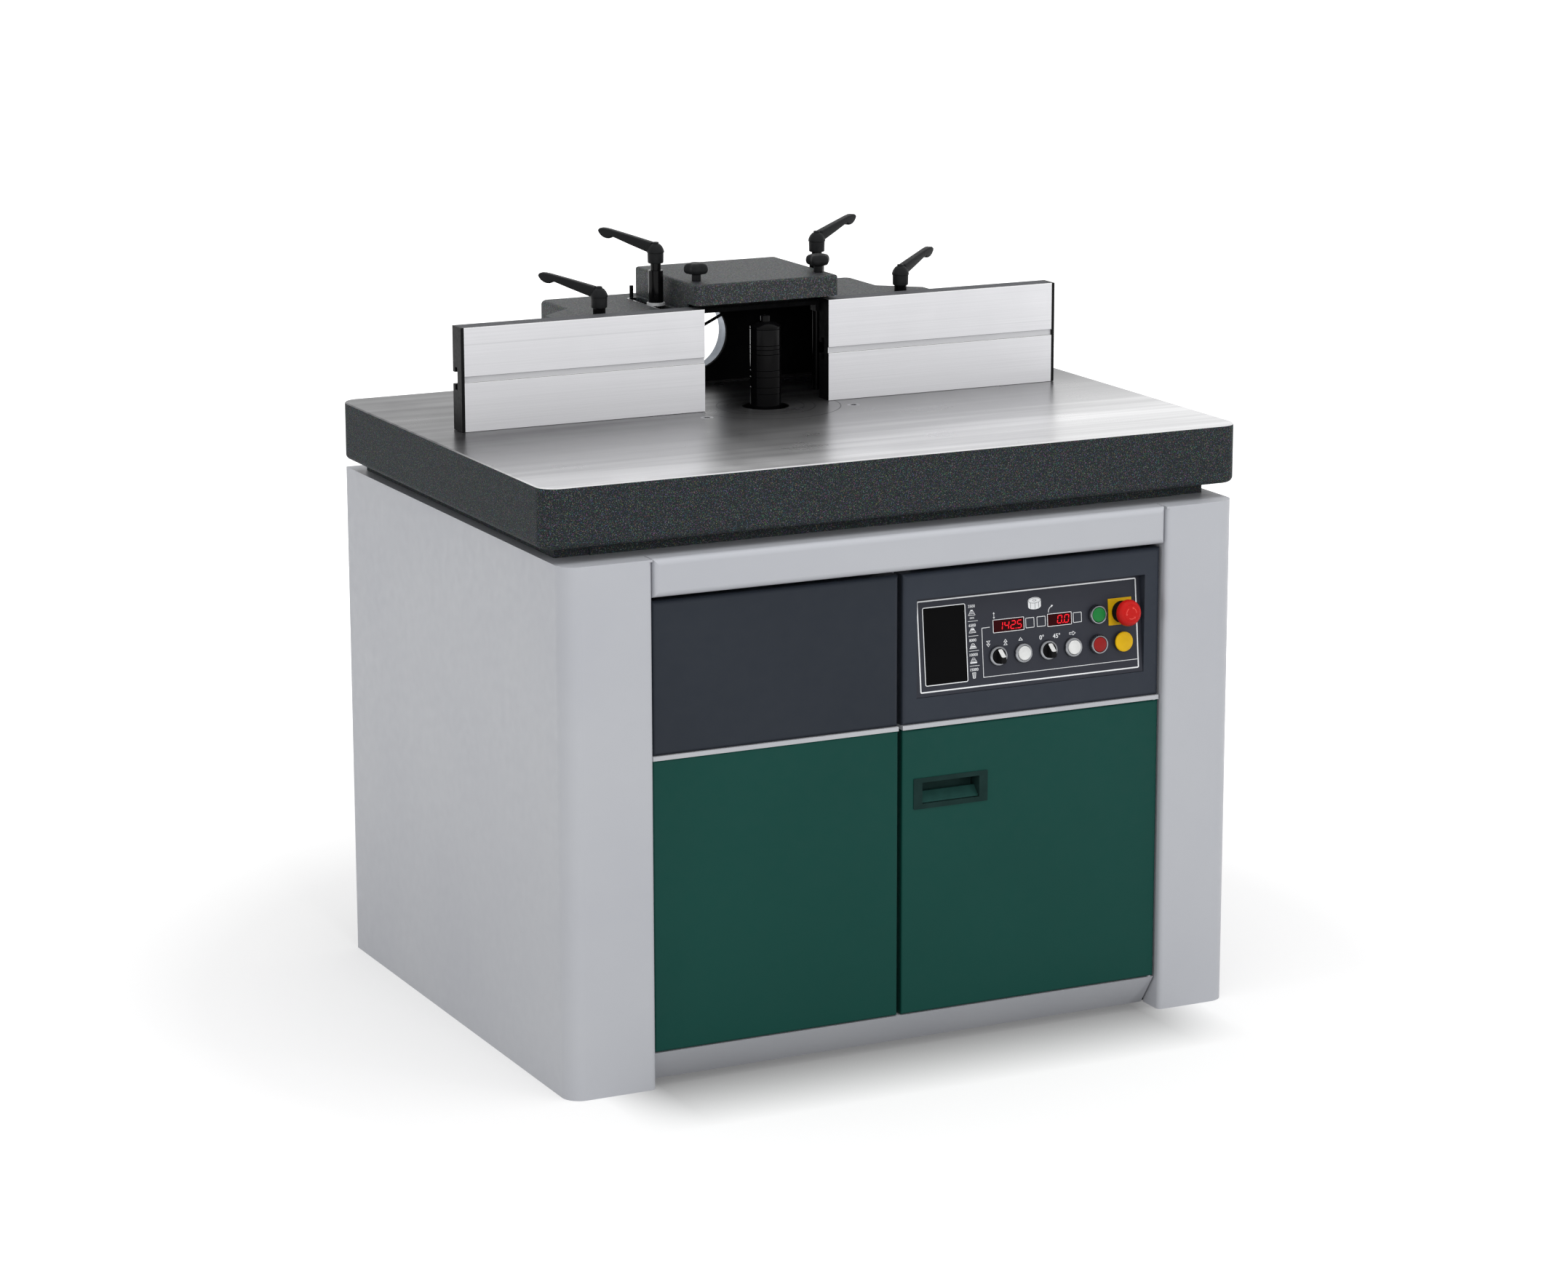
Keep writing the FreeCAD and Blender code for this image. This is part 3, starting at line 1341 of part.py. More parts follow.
def top_of_arm(edge):
    """A test for the two long edges along the top of a lever's arm."""
    reach = (s.lever_length - s.lever_tip_run).number
    ends = sorted((vertex.Point.x, vertex.Point.z) for vertex in edge.Vertexes)
    wanted = [(0, s.lever_root_high.number), (reach, s.lever_tip_high.number)]
    return all(math.dist(a, b) < NEAR for a, b in zip(ends, wanted))


def star_knob(name, x, y):
    """A lobed knob on a collar, with its bolt going down through the cover."""
    zero = as_size(0)
    stem = cylinder(name + "_stem", "z", (zero, zero, zero), s.star_stem_radius, s.star_stem_height)
    bolt_length = cover_top + s.running_gap - hood_roof + s.star_bolt_grip
    bolt = cylinder(name + "_bolt", "z", (zero, zero, -bolt_length), s.star_bolt_radius, bolt_length)
    lobe_radius = s.star_radius * s.star_lobe_share
    reach = s.star_radius - lobe_radius
    solids = [stem, bolt]
    level = s.star_stem_height
    solids.append(cylinder(name + "_core", "z", (zero, zero, level), reach, s.star_height))
    low = s.star_edge_radius
    lobe_profile = [
        (0, 0), (lobe_radius - low, 0), (lobe_radius, low), (lobe_radius, s.star_height - low),
        (lobe_radius - low, s.star_height), (0, s.star_height)]
    for i in range(int(s.star_lobe_count.number)):
        angle = 360 * i / s.star_lobe_count
        spot = (reach * cosine(angle), reach * sine(angle), level)
        solids.append(turned(f"{name}_lobe", lobe_profile, spot))
    result = fuse(name, *solids)
    place(result, (x, y, cover_top + s.running_gap))
    node(name, result)


def hand_controls():
    clamp_y = spindle_y + s.clamp_y
    stud_drop = lever_clamp_z - hood_roof + s.fence_thickness / 2
    post_y = spindle_y + s.post_y
    lever("left_fence_lever", -s.clamp_x, clamp_y, lever_clamp_z, s.left_clamp_turn, stud_drop)
    lever("right_fence_lever", s.clamp_x, clamp_y, lever_clamp_z, s.right_clamp_turn, stud_drop)
    lever("left_post_lever", -s.post_x, post_y, lever_post_z, s.left_post_turn, None)
    lever("right_post_lever", s.post_x, post_y, lever_post_z, s.right_post_turn, None)
    for side, sign in SIDES:
        star_knob(side + "_star_knob", s.star_centre_x + sign * s.star_x, spindle_y + s.star_y)


# The service door with its recessed handle and pivots

def door():
    low = s.kick_top + s.door_clearance
    high = strip_bottom - s.door_clearance
    blank = pan("door_pan", right_panel, (low, high), door_face, s.panel_depth, s.panel_edge_radius)
    block_x = (right_panel[1] - s.pivot_block, right_panel[1] - s.panel_edge_radius)
    block_y = (door_face + s.sheet - s.overrun, door_face + s.pivot_block)
    tall = s.pivot_depth + s.pivot_block
    block_low = box("pivot_block_low", block_x, block_y, (low + s.panel_edge_radius, low + tall))
    block_high = box("pivot_block_high", block_x, block_y, (high - tall, high - s.panel_edge_radius))
    hole_radius = s.pivot_radius + s.shaft_clearance
    depth = pin_length + s.overrun
    hole_low = cylinder("pivot_hole_low", "z", (pivot_x, pivot_y, low - s.overrun), hole_radius, depth)
    hole_high = cylinder("pivot_hole_high", "z", (pivot_x, pivot_y, high - pin_length), hole_radius, depth)

    frame_x = (right_panel[0] + s.handle_left, right_panel[0] + s.handle_left + s.handle_width)
    frame_z = (handle_bottom, handle_bottom + s.handle_height)
    cup_x = (frame_x[0] + s.handle_flange, frame_x[1] - s.handle_flange)
    cup_z = (frame_z[0] + s.handle_flange, frame_z[1] - s.handle_flange)
    window = box("handle_window", cup_x, (door_face - s.overrun, door_face + s.panel_depth), cup_z)
    solid = fuse("door_fused", blank, block_low, block_high)
    node("right_door", cut("right_door", solid, hole_low, hole_high, window))

    front = door_face - s.handle_proud
    frame_plan = rectangle(frame_x, frame_z)
    frame = prism("handle_frame", "y", frame_plan, front, door_face)
    rounded(frame, s.handle_proud, along("y", *frame_plan))
    fit = s.running_gap
    cup_back = door_face + s.handle_cup_depth
    cup = box(
        "handle_cup", (cup_x[0] + fit, cup_x[1] - fit),
        (front + s.handle_proud / 2, cup_back), (cup_z[0] + fit, cup_z[1] - fit))
    inner_x = (frame_x[0] + s.handle_side_border, frame_x[1] - s.handle_side_border)
    inner_z = (frame_z[0] + s.handle_bottom_border, frame_z[1] - s.handle_top_border)
    cavity_z = (cup_z[0] + fit + s.handle_wall, inner_z[1])
    mouth_y = (front - s.overrun, cup_back - s.handle_wall)
    mouth = box("handle_mouth", inner_x, mouth_y, cavity_z)
    foot_y = front + s.paddle_inset
    foot_z = cavity_z[0] + s.paddle_lift
    pin_at = (foot_y + s.paddle_thickness, foot_z + s.paddle_thickness / 2)
    hole_x = (inner_x[0] - s.paddle_pin_reach - s.overrun, inner_x[1] + s.paddle_pin_reach + s.overrun)
    pin_hole = cylinder(
        "paddle_pin_hole", "x", (hole_x[0], *pin_at),
        s.paddle_pin_radius + s.shaft_clearance, hole_x[1] - hole_x[0])
    node("door_handle", cut("door_handle", fuse("handle_fused", frame, cup), mouth, pin_hole))

    run_y = s.paddle_length * cosine(s.paddle_angle)
    run_z = s.paddle_length * sine(s.paddle_angle)
    thick_y = s.paddle_thickness / sine(s.paddle_angle)
    flap = [
        (foot_y, foot_z), (foot_y + thick_y, foot_z),
        (foot_y + thick_y + run_y, foot_z + run_z), (foot_y + run_y, foot_z + run_z)]
    flap_x = (inner_x[0] + s.running_gap, inner_x[1] - s.running_gap)
    pin_x = (inner_x[0] - s.paddle_pin_reach, inner_x[1] + s.paddle_pin_reach)
    pin = cylinder("paddle_pin", "x", (pin_x[0], *pin_at), s.paddle_pin_radius, pin_x[1] - pin_x[0])
    node("latch_paddle", fuse("latch_paddle", prism("paddle_flap", "x", flap, *flap_x), pin))


# The control housing, its tilted plate, and the buttons on it

def on_panel(name, *solids):
    """Solids drawn upright, laid into the plane of the tilted control plate."""
    result = group(name, *solids)
    place(result, (as_size(0), door_face + s.control_low_depth, control_low),
          FreeCAD.Rotation(X_AXIS, -s.control_tilt.number))
    return result


def controls():
    zero = as_size(0)
    slope_rise = control_rise / cosine(s.control_tilt)
    shift = control_rise * sine(s.control_tilt) / cosine(s.control_tilt)
    upper_z = (strip_top, upper_panel_top)
    blank = pan("housing_pan", right_panel, upper_z, door_face, s.panel_depth, s.moulding_radius)
    low_y = door_face + s.control_low_depth
    high = control_low + control_rise
    wall = s.control_wall
    tub_depth = s.control_low_depth + shift + wall * 2
    tub = box(
        "control_tub", (control_left - wall, control_right + wall),
        (door_face + s.sheet - s.overrun, door_face + tub_depth), (control_low - wall, high + wall))
    wedge = [
        (door_face - s.overrun, control_low), (low_y, control_low),
        (low_y + shift, high), (door_face - s.overrun, high)]
    pocket = prism("control_pocket", "x", wedge, control_left, control_right)

    plate_width = control_right - control_left
    first_column = control_left + plate_width * s.button_first_share
    pitch = plate_width * s.button_pitch_share
    columns = [first_column + pitch * i for i in range(BUTTON_COLUMNS)]
    low_row = slope_rise * s.button_low_share
    high_row = slope_rise * s.button_high_share
    plain = ("height_selector", "left_white_button", "tilt_selector", "right_white_button")
    spots = {name: (columns[i], low_row) for i, name in enumerate(plain)}
    spots["red_button"] = (columns[4], low_row)
    spots["yellow_button"] = (columns[5], low_row)
    spots["green_button"] = (columns[4], high_row)
    spots["emergency_stop"] = (columns[5], high_row)
    bore = s.button_radius + s.running_gap
    front = -s.plate_thickness
    drills = []
    for u, v in spots.values():
        drills.append(cylinder("button_hole", "y", (u, -s.panel_depth, v), bore, s.panel_depth * 2))
    housing_drills = on_panel("housing_drills", *drills)
    housing = fuse("housing_fused", blank, tub)
    node("control_housing", cut("control_housing", housing, pocket, housing_drills))

    gap = s.running_gap
    face = box(
        "control_face", (control_left + gap, control_right - gap),
        (front, zero), (gap, slope_rise - gap * 2))
    node("control_plate", on_panel("control_plate", cut("control_face_drilled", face, *drills)))
    glass_y = (front - s.display_thickness, front)
    display_low = slope_rise * s.display_low_share
    display_z = (display_low, display_low + slope_rise * s.display_height_share)
    window_low = slope_rise * s.window_low_share
    window_z = (window_low, window_low + slope_rise * s.window_height_share)
    window_left = control_left + plate_width * s.window_left_share
    window_x = (window_left, window_left + plate_width * s.window_width_share)
    first_left = control_left + plate_width * s.first_display_share
    first_x = (first_left, first_left + plate_width * s.first_display_width_share)
    second_left = control_left + plate_width * s.second_display_share
    second_x = (second_left, second_left + plate_width * s.second_display_width_share)
    panes = [
        box("speed_window", window_x, glass_y, window_z),
        box("first_display", first_x, glass_y, display_z),
        box("second_display", second_x, glass_y, display_z),
    ]
    node("display_windows", on_panel("display_windows", *panes))

    bezels = []
    for name, (u, v) in spots.items():
        if name in ("yellow_button", "emergency_stop"):
            continue
        rim = (u, front - s.bezel_height, v)
        body = cone("bezel", "y", rim, s.bezel_top_radius, s.bezel_radius, s.bezel_height)
        hole = cylinder("bezel_hole", "y", (u, -s.panel_depth, v), bore, s.panel_depth)
        bezels.append(cut("bezel_ring", body, hole))
    node("button_bezels", on_panel("button_bezels", *bezels))

    for name, (u, v) in spots.items():
        reach = s.button_proud + s.button_sunk
        start = (u, front - s.button_proud, v)
        stem = cylinder(name + "_stem", "y", start, s.button_radius, reach)
        if name.endswith("selector"):
            start = (u, front - s.bezel_height - s.selector_disc, v)
            reach = s.bezel_height + s.selector_disc + s.button_sunk
            stem = cylinder(name + "_stem", "y", start, s.button_radius, reach)
            half = s.selector_grip_width / 2
            reach = s.selector_grip_length / 2
            grip = box(
                name + "_grip", (u - half, u + half),
                (start[1] - s.selector_grip_height, start[1]), (v - reach, v + reach * GRIP_TAIL_SHARE))
            stem = fuse(name + "_fused", stem, grip)
        if name == "yellow_button":
            dome = cone(
                name + "_dome", "y", (u, front - s.button_proud, v),
                s.yellow_radius - s.bezel_height / 2, s.yellow_radius, s.button_proud - s.bezel_height)
            stem = fuse(name + "_fused", stem, dome)
        if name == "emergency_stop":
            out = s.estop_radius
            edge = s.estop_edge_radius
            profile = [
                (0, 0), (s.button_radius, 0), (s.button_radius, s.estop_proud - s.estop_head),
                (out - edge, s.estop_proud - s.estop_head), (out, s.estop_proud - s.estop_head + edge),
                (out, s.estop_proud - edge), (out - edge, s.estop_proud), (0, s.estop_proud)]
            head = turned(name + "_head", profile, (u, front, v))
            place(head, (u, front, v), FreeCAD.Rotation(X_AXIS, 90))
            root = cylinder(name + "_root", "y", (u, front, v), s.button_radius, s.button_sunk)
            stem = fuse(name + "_fused", head, root)
        node(name, on_panel(name, stem))


# Counts and shares that set how the gears, belt steps and stack are made
PINION_TEETH = 20
SEGMENT_TEETH = 17
TEETH_BEFORE = 2
ROOT_SHARE = 1.25
TIP_SHARE = 0.8
FOOT_SHARE = 0.5
SPEED_SHARES = (5.0, 3.33, 2.67, 2.17, 1.17)
BELT_SHARE = 2.67
BUTTON_COLUMNS = 6
GRIP_TAIL_SHARE = 0.8
STACK = (s.ring_tall, s.ring_thin, s.ring_low, s.ring_tall, s.ring_ten, s.ring_mid, s.ring_ten)
STACK_SUM = sum(STACK, as_size(0))

cabinet()
table()
tilting_unit()
spindle_unit()
fence()
hand_controls()
door()
controls()
doc.recompute()

# Every object has to be sound before its solids are written
for thing in doc.Objects:
    if "Invalid" in thing.State or "Error" in thing.State:
        raise RuntimeError(f"{thing.Label}: {thing.State}")
os.makedirs("parts", exist_ok=True)
for thing in nodes:
    shape = thing.Shape
    if shape.isNull() or not shape.isValid():
        raise RuntimeError(f"{thing.Label}: shape is not sound")
    shape.exportStep(f"parts/{thing.Label}.step")
print(len(nodes), "sub-parts written")
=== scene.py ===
import bmesh
import bpy
import json
import math
from mathutils import Matrix, Vector

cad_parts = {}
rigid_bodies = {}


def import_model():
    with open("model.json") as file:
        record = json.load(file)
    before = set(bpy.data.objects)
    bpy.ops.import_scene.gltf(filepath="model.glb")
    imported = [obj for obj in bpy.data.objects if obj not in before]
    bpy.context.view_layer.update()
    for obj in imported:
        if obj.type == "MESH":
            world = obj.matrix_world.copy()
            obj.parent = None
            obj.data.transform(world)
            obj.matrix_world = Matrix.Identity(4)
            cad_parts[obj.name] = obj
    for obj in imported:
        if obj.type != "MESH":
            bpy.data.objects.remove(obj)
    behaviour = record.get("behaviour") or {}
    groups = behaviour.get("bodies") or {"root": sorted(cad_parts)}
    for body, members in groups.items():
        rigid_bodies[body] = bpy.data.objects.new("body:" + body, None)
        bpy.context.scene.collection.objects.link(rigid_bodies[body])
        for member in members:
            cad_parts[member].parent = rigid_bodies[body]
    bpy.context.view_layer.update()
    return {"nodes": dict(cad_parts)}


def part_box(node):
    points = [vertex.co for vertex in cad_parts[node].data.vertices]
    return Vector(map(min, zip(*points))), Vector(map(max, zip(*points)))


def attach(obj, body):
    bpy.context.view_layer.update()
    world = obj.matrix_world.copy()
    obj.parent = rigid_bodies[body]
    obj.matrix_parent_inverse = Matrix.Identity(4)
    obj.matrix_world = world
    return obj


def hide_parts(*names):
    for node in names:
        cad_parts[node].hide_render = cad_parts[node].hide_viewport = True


# Spindle moulder: a cabinet with a cast table, a tilting spindle, a fence with a dust hood, and a
# control panel. Metres, +Z up, the front faces -Y. Loose pieces are drawn in millimetres.
for thing in list(bpy.data.objects):
    bpy.data.objects.remove(thing)
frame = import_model()

# Cabinet: folded steel sheet, welded to a base frame and powder coated in a pale grey that is
# slightly blue. The coat is satin, with the fine orange peel of baked powder.


def tone(red, green, blue):
    """A screen colour from 0 to 255, as the linear colour that a shader takes."""
    parts = (value / 255 for value in (red, green, blue))
    return tuple(p / 12.92 if p <= 0.04045 else ((p + 0.055) / 1.055) ** 2.4 for p in parts) + (1,)


def step(tree, kind, inputs, **settings):
    """One node of a material: its settings, then its inputs, each a value or another node's output."""
    made = tree.nodes.new("ShaderNode" + kind)
    for key, value in settings.items():
        setattr(made, key, value)
    for key, value in inputs.items():
        if isinstance(value, bpy.types.NodeSocket):
            tree.links.new(value, made.inputs[key])
        else:
            made.inputs[key].default_value = value
    return made


def surface(name, metallic=0.0, specular=0.5):
    """A new material, with its node tree, its shader and the place of each point on the piece."""
    material = bpy.data.materials.new(name)
    material.use_nodes = True
    tree = material.node_tree
    shader = tree.nodes["Principled BSDF"]
    shader.inputs["Metallic"].default_value = metallic
    shader.inputs["Specular IOR Level"].default_value = specular
    return material, tree, shader, tree.nodes.new("ShaderNodeTexCoord").outputs["Object"]


def noise(tree, place, scale, detail=2.0, stretch=None):
    """Noise from 0 to 1 around the middle; a stretch pulls it out along an axis."""
    if stretch:
        place = step(tree, "Mapping", {"Vector": place, "Scale": stretch}).outputs["Vector"]
    return step(tree, "TexNoise", {"Vector": place, "Scale": scale, "Detail": detail}).outputs["Fac"]


def spread(tree, value, low, high, start=0.3, end=0.7):
    """The value, spread from low to high."""
    inputs = {"Value": value, "From Min": start, "From Max": end, "To Min": low, "To Max": high}
    return step(tree, "MapRange", inputs).outputs["Result"]


def blended(tree, share, first, second):
    """A colour between the first and the second."""
    return step(tree, "Mix", {0: share, 6: first, 7: second}, data_type="RGBA").outputs[2]


def bumped(tree, shader, height, depth, strength=1.0):
    """Small relief on the surface, its depth in metres."""
    made = step(tree, "Bump", {"Strength": strength, "Distance": depth, "Height": height})
    tree.links.new(made.outputs["Normal"], shader.inputs["Normal"])


def painted(name, colour, shade, rough, peel=0.00012, specular=0.5):
    """Powder coat: a slow change of colour, satin sheen that varies a little, and orange peel."""
    material, tree, shader, place = surface(name, 0.0, specular)
    slow = spread(tree, noise(tree, place, 5.0, 3.0), 0.0, 1.0)
    tree.links.new(blended(tree, slow, tone(*colour), tone(*shade)), shader.inputs["Base Color"])
    sheen = spread(tree, noise(tree, place, 60.0), rough - 0.05, rough + 0.06)
    tree.links.new(sheen, shader.inputs["Roughness"])
    bumped(tree, shader, noise(tree, place, 380.0), peel, 0.5)
    return material


def coat(material, *names):
    """Gives CAD pieces their material."""
    for name in names:
        mesh = frame["nodes"][name].data
        mesh.materials.clear()
        mesh.materials.append(material)


pale_paint = painted("pale_grey_powder_coat", (184, 186, 191), (180, 182, 188), 0.42, 0.0001, 0.4)
coat(
    pale_paint, "left_side_shell", "right_side_shell", "rear_panel", "top_deck", "centre_post",
    "front_top_rail", "kick_plate")
coat(painted("black_chassis_paint", (24, 25, 26), (30, 31, 32), 0.5), "base_frame")

# Front panels: pressed steel trays with rounded edges, powder coated dark grey above and bottle
# green below. A thin pale strip closes the joint between them.
slate_paint = painted("slate_powder_coat", (36, 41, 49), (38, 43, 51), 0.4, 0.00008, 0.16)
green_paint = painted("bottle_green_powder_coat", (15, 64, 57), (17, 66, 59), 0.4, 0.00008, 0.12)
coat(slate_paint, "left_upper_panel")
# The control housing has a slightly lighter copy of the slate coat: painted light, for the brighter
# look of its face.
coat(painted("housing_powder_coat", (44, 49, 58), (46, 51, 60), 0.4, 0.00008, 0.16), "control_housing")
coat(green_paint, "left_lower_panel", "right_door")
coat(painted("silver_strip_paint", (182, 184, 188), (174, 176, 181), 0.35), "trim_strips")

# Table: one iron casting on a plinth, with loose rings round the spindle. Its top and edge bevel are
# ground bright along its length. Their colour, and the rings' too, is graded as a painted reflection:
# lighter towards the front, darker towards the back and left. Its sides, and the plinth, have a dark
# texture paint with grains.
SPINDLE_AXIS = (0, 0.064, 0)
TABLE_LEVEL = 0.89
RING_JOINTS = (0.115, 0.076, 0.059)
JOINT_HALF = 0.001
GROUND_EDGE = 0.0016


def stone_coat(tree, shader, place, colour, grain):
    """Dark texture paint: fine grains of a lighter paint, some with a tint, that stand out a little."""
    cells = step(tree, "TexVoronoi", {"Vector": place, "Scale": 620.0})
    lit = spread(tree, noise(tree, place, 760.0, 3.0), 0.0, 0.75, 0.52, 0.72)
    tint = blended(tree, 0.3, tone(*grain), cells.outputs["Color"])
    tree.links.new(blended(tree, lit, tone(*colour), tint), shader.inputs["Base Color"])
    tree.links.new(spread(tree, noise(tree, place, 300.0), 0.45, 0.62), shader.inputs["Roughness"])
    bumped(tree, shader, noise(tree, place, 700.0, 3.0), 0.00025, 0.6)


def mixed(tree, share, first, second):
    """Puts two shaders on one piece, the second where the share is 1."""
    both = step(tree, "MixShader", {0: share, 1: first.outputs["BSDF"], 2: second.outputs["BSDF"]})
    tree.links.new(both.outputs["Shader"], tree.nodes["Material Output"].inputs["Surface"])


def band(tree, level, middle, half):
    """1 within a half width of a level, else 0."""
    return step(tree, "Math", {0: level, 1: middle, 2: half}, operation="COMPARE").outputs["Value"]


def ground_iron(name, edge_level):
    """Ground bright metal above a level, fine marks along X, painted reflection; texture paint below.
    """
    material, tree, metal, place = surface(name)
    parts = step(tree, "SeparateXYZ", {"Vector": place})
    across, depth, level = (parts.outputs[axis] for axis in "XYZ")
    marks = noise(tree, place, 1.0, 4.0, (6.0, 1300.0, 1.0))
    bands = noise(tree, place, 1.0, 2.0, (1.6, 34.0, 1.0))
    # Painted reflection: the base colour is lighter towards the front and darker towards the back and
    # left, where dull is 1. The specular tint falls there too.
    lean = step(tree, "Math", {0: across, 1: -0.18, 2: depth}, operation="MULTIPLY_ADD")
    dull = spread(tree, lean.outputs["Value"], 0.0, 1.0, -0.3, 0.08)
    ground = blended(tree, dull, tone(250, 250, 251), tone(76, 76, 78))
    streaked = blended(tree, spread(tree, bands, 0.0, 0.36, 0.38, 0.62), ground, tone(156, 156, 158))
    lined = blended(tree, spread(tree, marks, 0.0, 0.22), streaked, tone(140, 140, 143))
    middle = (*SPINDLE_AXIS[:2], TABLE_LEVEL)
    radius = step(tree, "VectorMath", {0: place, 1: middle}, operation="DISTANCE").outputs["Value"]
    joints = [band(tree, radius, joint, JOINT_HALF) for joint in RING_JOINTS]
    outer = step(tree, "Math", {0: joints[0], 1: joints[1]}, operation="MAXIMUM").outputs["Value"]
    seam = step(tree, "Math", {0: outer, 1: joints[2]}, operation="MAXIMUM").outputs["Value"]
    tree.links.new(blended(tree, seam, lined, tone(52, 52, 54)), metal.inputs["Base Color"])
    tree.links.new(spread(tree, seam, 0.88, 0.1, 0.0, 1.0), metal.inputs["Metallic"])
    tree.links.new(blended(tree, dull, (1, 1, 1, 1), (0.9, 0.9, 0.9, 1)), metal.inputs["Specular Tint"])
    tree.links.new(spread(tree, noise(tree, place, 9.0, 4.0), 0.26, 0.33), metal.inputs["Roughness"])
    waves = step(tree, "Math", {0: bands, 1: 4.0, 2: marks}, operation="MULTIPLY_ADD").outputs["Value"]
    bumped(tree, metal, waves, 0.00003, 0.4)
    paint = tree.nodes.new("ShaderNodeBsdfPrincipled")
    paint.inputs["Specular IOR Level"].default_value = 0.03
    stone_coat(tree, paint, place, (38, 43, 45), (78, 83, 87))
    over = step(tree, "Math", {0: level, 1: edge_level}, operation="GREATER_THAN").outputs["Value"]
    mixed(tree, over, paint, metal)
    return material


table_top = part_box("machine_table")[1].z
coat(ground_iron("ground_table_iron", table_top - GROUND_EDGE), "machine_table")
coat(ground_iron("ground_ring_iron", 0.0), "table_rings")
material, tree, shader, place = surface("plinth_texture_paint", 0.0, 0.05)
stone_coat(tree, shader, place, (38, 43, 45), (84, 89, 93))
coat(material, "table_plinth")


def machined(name, colour, rough, metallic=1.0):
    """Turned or milled metal with a faint uneven sheen."""
    material, tree, shader, place = surface(name, metallic)
    darker = tuple(value * 0.88 for value in colour)
    patches = spread(tree, noise(tree, place, 40.0, 3.0), 0.0, 1.0)
    tree.links.new(blended(tree, patches, tone(*colour), tone(*darker)), shader.inputs["Base Color"])
    sheen = spread(tree, noise(tree, place, 150.0), rough - 0.05, rough + 0.07)
    tree.links.new(sheen, shader.inputs["Roughness"])
    bumped(tree, shader, noise(tree, place, 900.0, 3.0), 0.00003, 0.5)
    return material


bright_steel = machined("turned_steel", (184, 184, 187), 0.26)
coat(bright_steel, "table_bushes")

# Tilting and rising unit under the table: grey iron castings, bright shafts and gears, a painted
# motor with a flat belt. It is bolted to the table and seen only with the door open.


def cast_iron(name, colour):
    """Bare casting: dull grey skin with the grain of the sand mould."""
    material, tree, shader, place = surface(name, 0.35)
    skin = spread(tree, noise(tree, place, 24.0, 5.0), 0.0, 1.0)
    darker = tuple(value * 0.7 for value in colour)
    tree.links.new(blended(tree, skin, tone(*colour), tone(*darker)), shader.inputs["Base Color"])
    tree.links.new(spread(tree, noise(tree, place, 90.0), 0.5, 0.7), shader.inputs["Roughness"])
    bumped(tree, shader, noise(tree, place, 420.0, 4.0), 0.0005, 0.6)
    return material


grey_casting = cast_iron("grey_casting", (96, 98, 101))
coat(grey_casting, "trunnion_cradles", "tilt_frame", "spindle_carriage")
coat(bright_steel, "tilt_pinion", "lift_screw", "spindle_bearings")
coat(painted("gearmotor_paint", (32, 34, 37), (38, 40, 43), 0.5), "tilt_gearmotor")
coat(painted("motor_paint", (44, 50, 58), (49, 55, 63), 0.5), "drive_motor")
coat(machined("pulley_aluminium", (186, 187, 190), 0.34), "spindle_pulley", "motor_pulley")


def rubber(name, colour):
    """Matt rubber with a faint woven grain."""
    material, tree, shader, place = surface(name)
    grey = spread(tree, noise(tree, place, 80.0, 3.0), 0.0, 1.0)
    paler = tuple(value + 10 for value in colour)
    tree.links.new(blended(tree, grey, tone(*colour), tone(*paler)), shader.inputs["Base Color"])
    tree.links.new(spread(tree, noise(tree, place, 200.0), 0.7, 0.85), shader.inputs["Roughness"])
    bumped(tree, shader, noise(tree, place, 800.0), 0.0001, 0.5)
    return material


coat(rubber("belt_rubber", (22, 22, 23)), "drive_belt")

# Spindle: hardened steel arbor with a stack of spacer rings and a screwed cap, all blued black and
# thinly oiled. The turning marks run round the axis.


def oiled_steel(name, colour, specular):
    """Blued steel: near black, with fine turned rings and a thin film of oil."""
    material, tree, shader, place = surface(name, 0.0, specular)
    rings = noise(tree, place, 1.0, 3.0, (40.0, 40.0, 1500.0))
    film = spread(tree, noise(tree, place, 30.0, 3.0), 0.0, 1.0)
    browner = (colour[0] * 1.5, colour[1] * 1.4, colour[2] * 1.3)
    tree.links.new(blended(tree, film, tone(*colour), tone(*browner)), shader.inputs["Base Color"])
    tree.links.new(spread(tree, rings, 0.08, 0.15), shader.inputs["Roughness"])
    bumped(tree, shader, rings, 0.00002, 0.5)
    return material, tree, shader, place


blued_steel = oiled_steel("blued_spindle_steel", (6, 6, 7), 0.08)[0]
coat(blued_steel, "spindle_shaft", "spacer_rings")


def turned(bm, profile, steps=48):
    """Adds a solid of revolution about Z, from points of radius and height."""
    points = [bm.verts.new((radius, 0, height)) for radius, height in profile]
    edges = [bm.edges.new(pair) for pair in zip(points, points[1:])]
    bmesh.ops.spin(
        bm, geom=points + edges, axis=(0, 0, 1), cent=(0, 0, 0), dvec=(0, 0, 0), angle=math.tau,
        steps=steps, use_merge=True)
    bmesh.ops.remove_doubles(bm, verts=bm.verts, dist=0.001)


def piece(name, bm, material, body, slot, *nodes, at=None, sharp=35):
    """A finished piece: its mesh put in place, in metres, with material and body; slot is not used."""
    if at:
        bmesh.ops.transform(bm, matrix=at, verts=bm.verts)
    bmesh.ops.scale(bm, vec=(0.001, 0.001, 0.001), verts=bm.verts)
    bmesh.ops.recalc_face_normals(bm, faces=bm.faces)
    for face in bm.faces:
        face.smooth = True
    mesh = bpy.data.meshes.new(name)
    bm.to_mesh(mesh)
    bm.free()
    mesh.set_sharp_from_angle(angle=math.radians(sharp))
    mesh.materials.append(material)
    made = bpy.data.objects.new(name, mesh)
    bpy.context.scene.collection.objects.link(made)
    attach(made, body)
    if nodes:
        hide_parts(*nodes)
    return made


